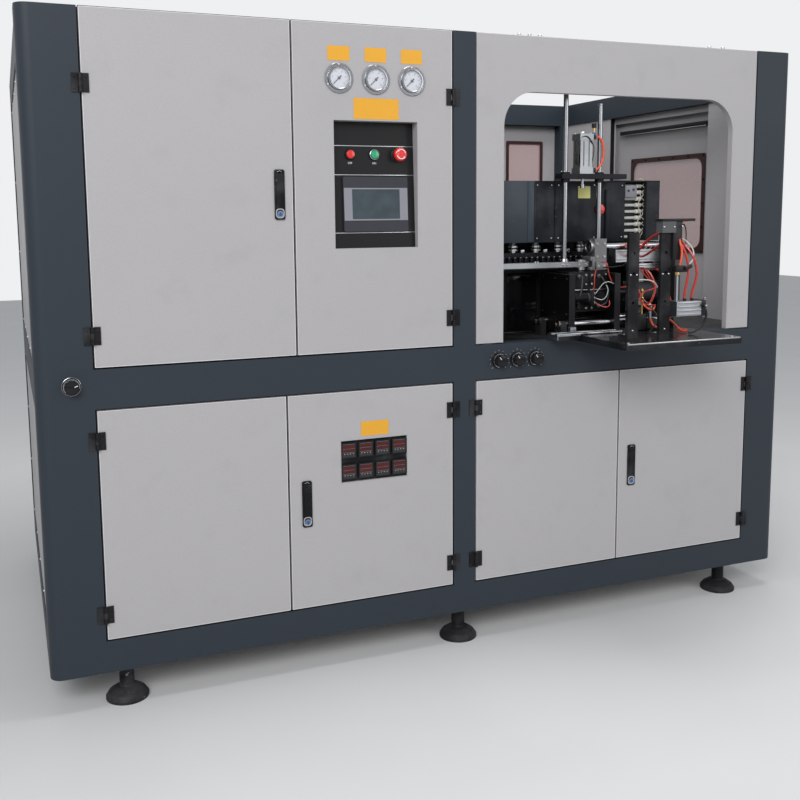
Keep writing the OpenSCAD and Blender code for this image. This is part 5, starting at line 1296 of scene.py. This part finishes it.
def air_hoses():
    hoses("orange_hoses", 3.4, HOSE_RED, [
        [(694, -178, 1236), (672, -172, 1232), (652, -180, 1210), (640, -206, 1170), (644, -210, 1146),
         (642, -212, 1120), (638, -210, 1098)],
        [(664, -110, 925), (676, -124, 915), (690, -130, 900), (704, -140, 885), (722, -146, 882)],
        [(668, -26, 912), (668, -34, 900), (674, -44, 888), (684, -60, 884)],
        [(604, -50, 984), (616, -70, 958), (640, -72, 946), (662, -56, 956)],
    ])
    hoses("dark_red_hoses", 2.1, HOSE_DARK, [
        [(526, 50, 1100), (526, 22, 1098), (530, 18, 1074), (537, 18, 1052), (546, 14, 1034), (557, 10, 1022),
         (572, 4, 1018), (590, 0, 1019)],
        [(600, -60, 990), (612, -62, 1004), (637, -64, 1012), (669, -58, 1018)],
        [(600, -60, 990), (606, -64, 972), (628, -66, 963), (662, -60, 961)],
        [(598, -40, 1092), (612, -40, 1080), (640, -44, 1048), (656, -46, 1034)],
        [(606, 62, 1150), (640, 54, 1153), (690, 56, 1150), (730, 60, 1149)],
        [(622, 62, 1154), (650, 50, 1163), (690, 52, 1160), (715, 66, 1154)],
        [(690, -130, 882), (704, -134, 880), (730, -128, 881), (744, -116, 884), (712, -108, 882)],
        [(640, -20, 1084), (652, -26, 1060), (668, -30, 1034), (684, -20, 1020)],
    ])
    hoses("clear_hoses", 2.2, HOSE_CLEAR, [
        [(662, -186, 1180), (684, -178, 1172), (708, -178, 1150), (712, -182, 1128), (694, -196, 1108),
         (662, -212, 1096)],
        [(604, -20, 1040), (622, -46, 1044), (652, -56, 1038), (676, -50, 1018)],
    ])
    hoses("black_leads", 2.0, WIRE_BLACK, [
        [(660, -186, 1214), (676, -176, 1224), (690, -170, 1200), (684, -176, 1160), (664, -190, 1140)],
        [(594, -180, 1196), (600, -172, 1168), (622, -150, 1100), (640, -60, 1080), (656, 40, 1080)],
        [(610, -100, 880), (624, -110, 900), (640, -100, 930), (636, -60, 960), (620, -30, 990)],
        [(470, -182, 1120), (480, -140, 1100), (500, -60, 1090), (512, 20, 1084)],
    ], sides=8)
    hoses("cylinder_feed", 4.0, WIRE_BLACK, [
        [(735, RAM_Y, 964), (748, -205, 952), (752, -200, 926), (742, -192, 902), (722, -184, 885),
         (704, -178, 881)],
    ])


for make in (
    hinge_screws, locks, door_edges, labels, gauges, control_panel, controllers, knobs, pane_borders,
    panel_screws, feet, top_bolts, stretch_head, bracket_details, oven_details, preform_line, clamp_details,
    manifold_details, upright_details, table_details, air_hoses,
):
    make()


# ---------- floor, light and camera ----------


def floor():
    mesh = bpy.data.meshes.new("floor")
    mesh.from_pydata([(-14, -9, 0), (14, -9, 0), (14, 14, 0), (-14, 14, 0)], [], [(0, 1, 2, 3)])
    f = Finish("pale_floor", (0.60, 0.60, 0.60), 0.6)
    f.set("Base Color", f.mix(f.noise(1.5, 4), (0.57, 0.57, 0.57), (0.63, 0.63, 0.63)))
    mesh.materials.append(f.material)
    ground = shown("floor", mesh)


def lamp(name, place, target, size, power):
    light = bpy.data.lights.new(name, "AREA")
    light.shape, light.size, light.size_y, light.energy = "RECTANGLE", *size, power
    holder = shown(name, light)
    holder.location = place
    holder.rotation_euler = (Vector(target) - Vector(place)).to_track_quat("-Z", "Y").to_euler()


def surroundings():
    world = bpy.data.worlds.new("studio")
    bpy.context.scene.world = world
    world.use_nodes = True
    tree = world.node_tree
    tree.nodes.clear()
    rays = tree.nodes.new("ShaderNodeLightPath").outputs
    seen = Field(tree, rays["Is Camera Ray"]) + Field(tree, rays["Is Transmission Ray"])
    seen = add_node(tree, "ShaderNodeMath", {0: seen, 1: rays["Is Glossy Ray"]}, operation="MAXIMUM")
    dim = add_node(tree, "ShaderNodeBackground", {"Color": (0.90, 0.95, 1.0, 1), "Strength": 0.42})
    pale = add_node(tree, "ShaderNodeBackground", {"Color": (0.86, 0.87, 0.88, 1), "Strength": 1.0})
    both = add_node(tree, "ShaderNodeMixShader", {0: seen.outputs[0], 1: dim.outputs[0], 2: pale.outputs[0]})
    out = tree.nodes.new("ShaderNodeOutputWorld")
    tree.links.new(both.outputs[0], out.inputs[0])


def camera():
    """Camera at the photograph's place, from a fit to the cabinet's corners."""
    yaw, pitch, roll = 0.3816, -0.1282, -0.0082
    ahead = Vector((math.sin(yaw) * math.cos(pitch), math.cos(yaw) * math.cos(pitch), math.sin(pitch)))
    right = Vector((math.cos(yaw), -math.sin(yaw), 0))
    up = right.cross(ahead)
    across = math.cos(roll) * right + math.sin(roll) * up
    upward = -math.sin(roll) * right + math.cos(roll) * up
    data = bpy.data.cameras.new("camera")
    data.lens, data.sensor_width, data.shift_y = 44.17, 36, -0.075
    data.clip_start, data.clip_end = 0.05, 60
    holder = shown("camera", data)
    place = TO_FRAME @ Vector((-1304.4, -2715.5, 1264.5))
    holder.matrix_world = shift(place) @ Matrix((across, upward, -ahead)).transposed().to_4x4()
    bpy.context.scene.camera = holder


floor()
surroundings()
lamp("key", (-3.2, -5.6, 4.4), (0.2, -0.4, 0.9), (4.5, 3.0), 340)
lamp("fill", (3.8, -5.0, 2.6), (0.3, -0.3, 1.0), (3.0, 3.0), 60)
lamp("over", (0.5, -0.2, 4.4), (0.5, 0.4, 1.2), (2.6, 1.8), 98)
camera()
bpy.context.scene.view_settings.view_transform = "Standard"
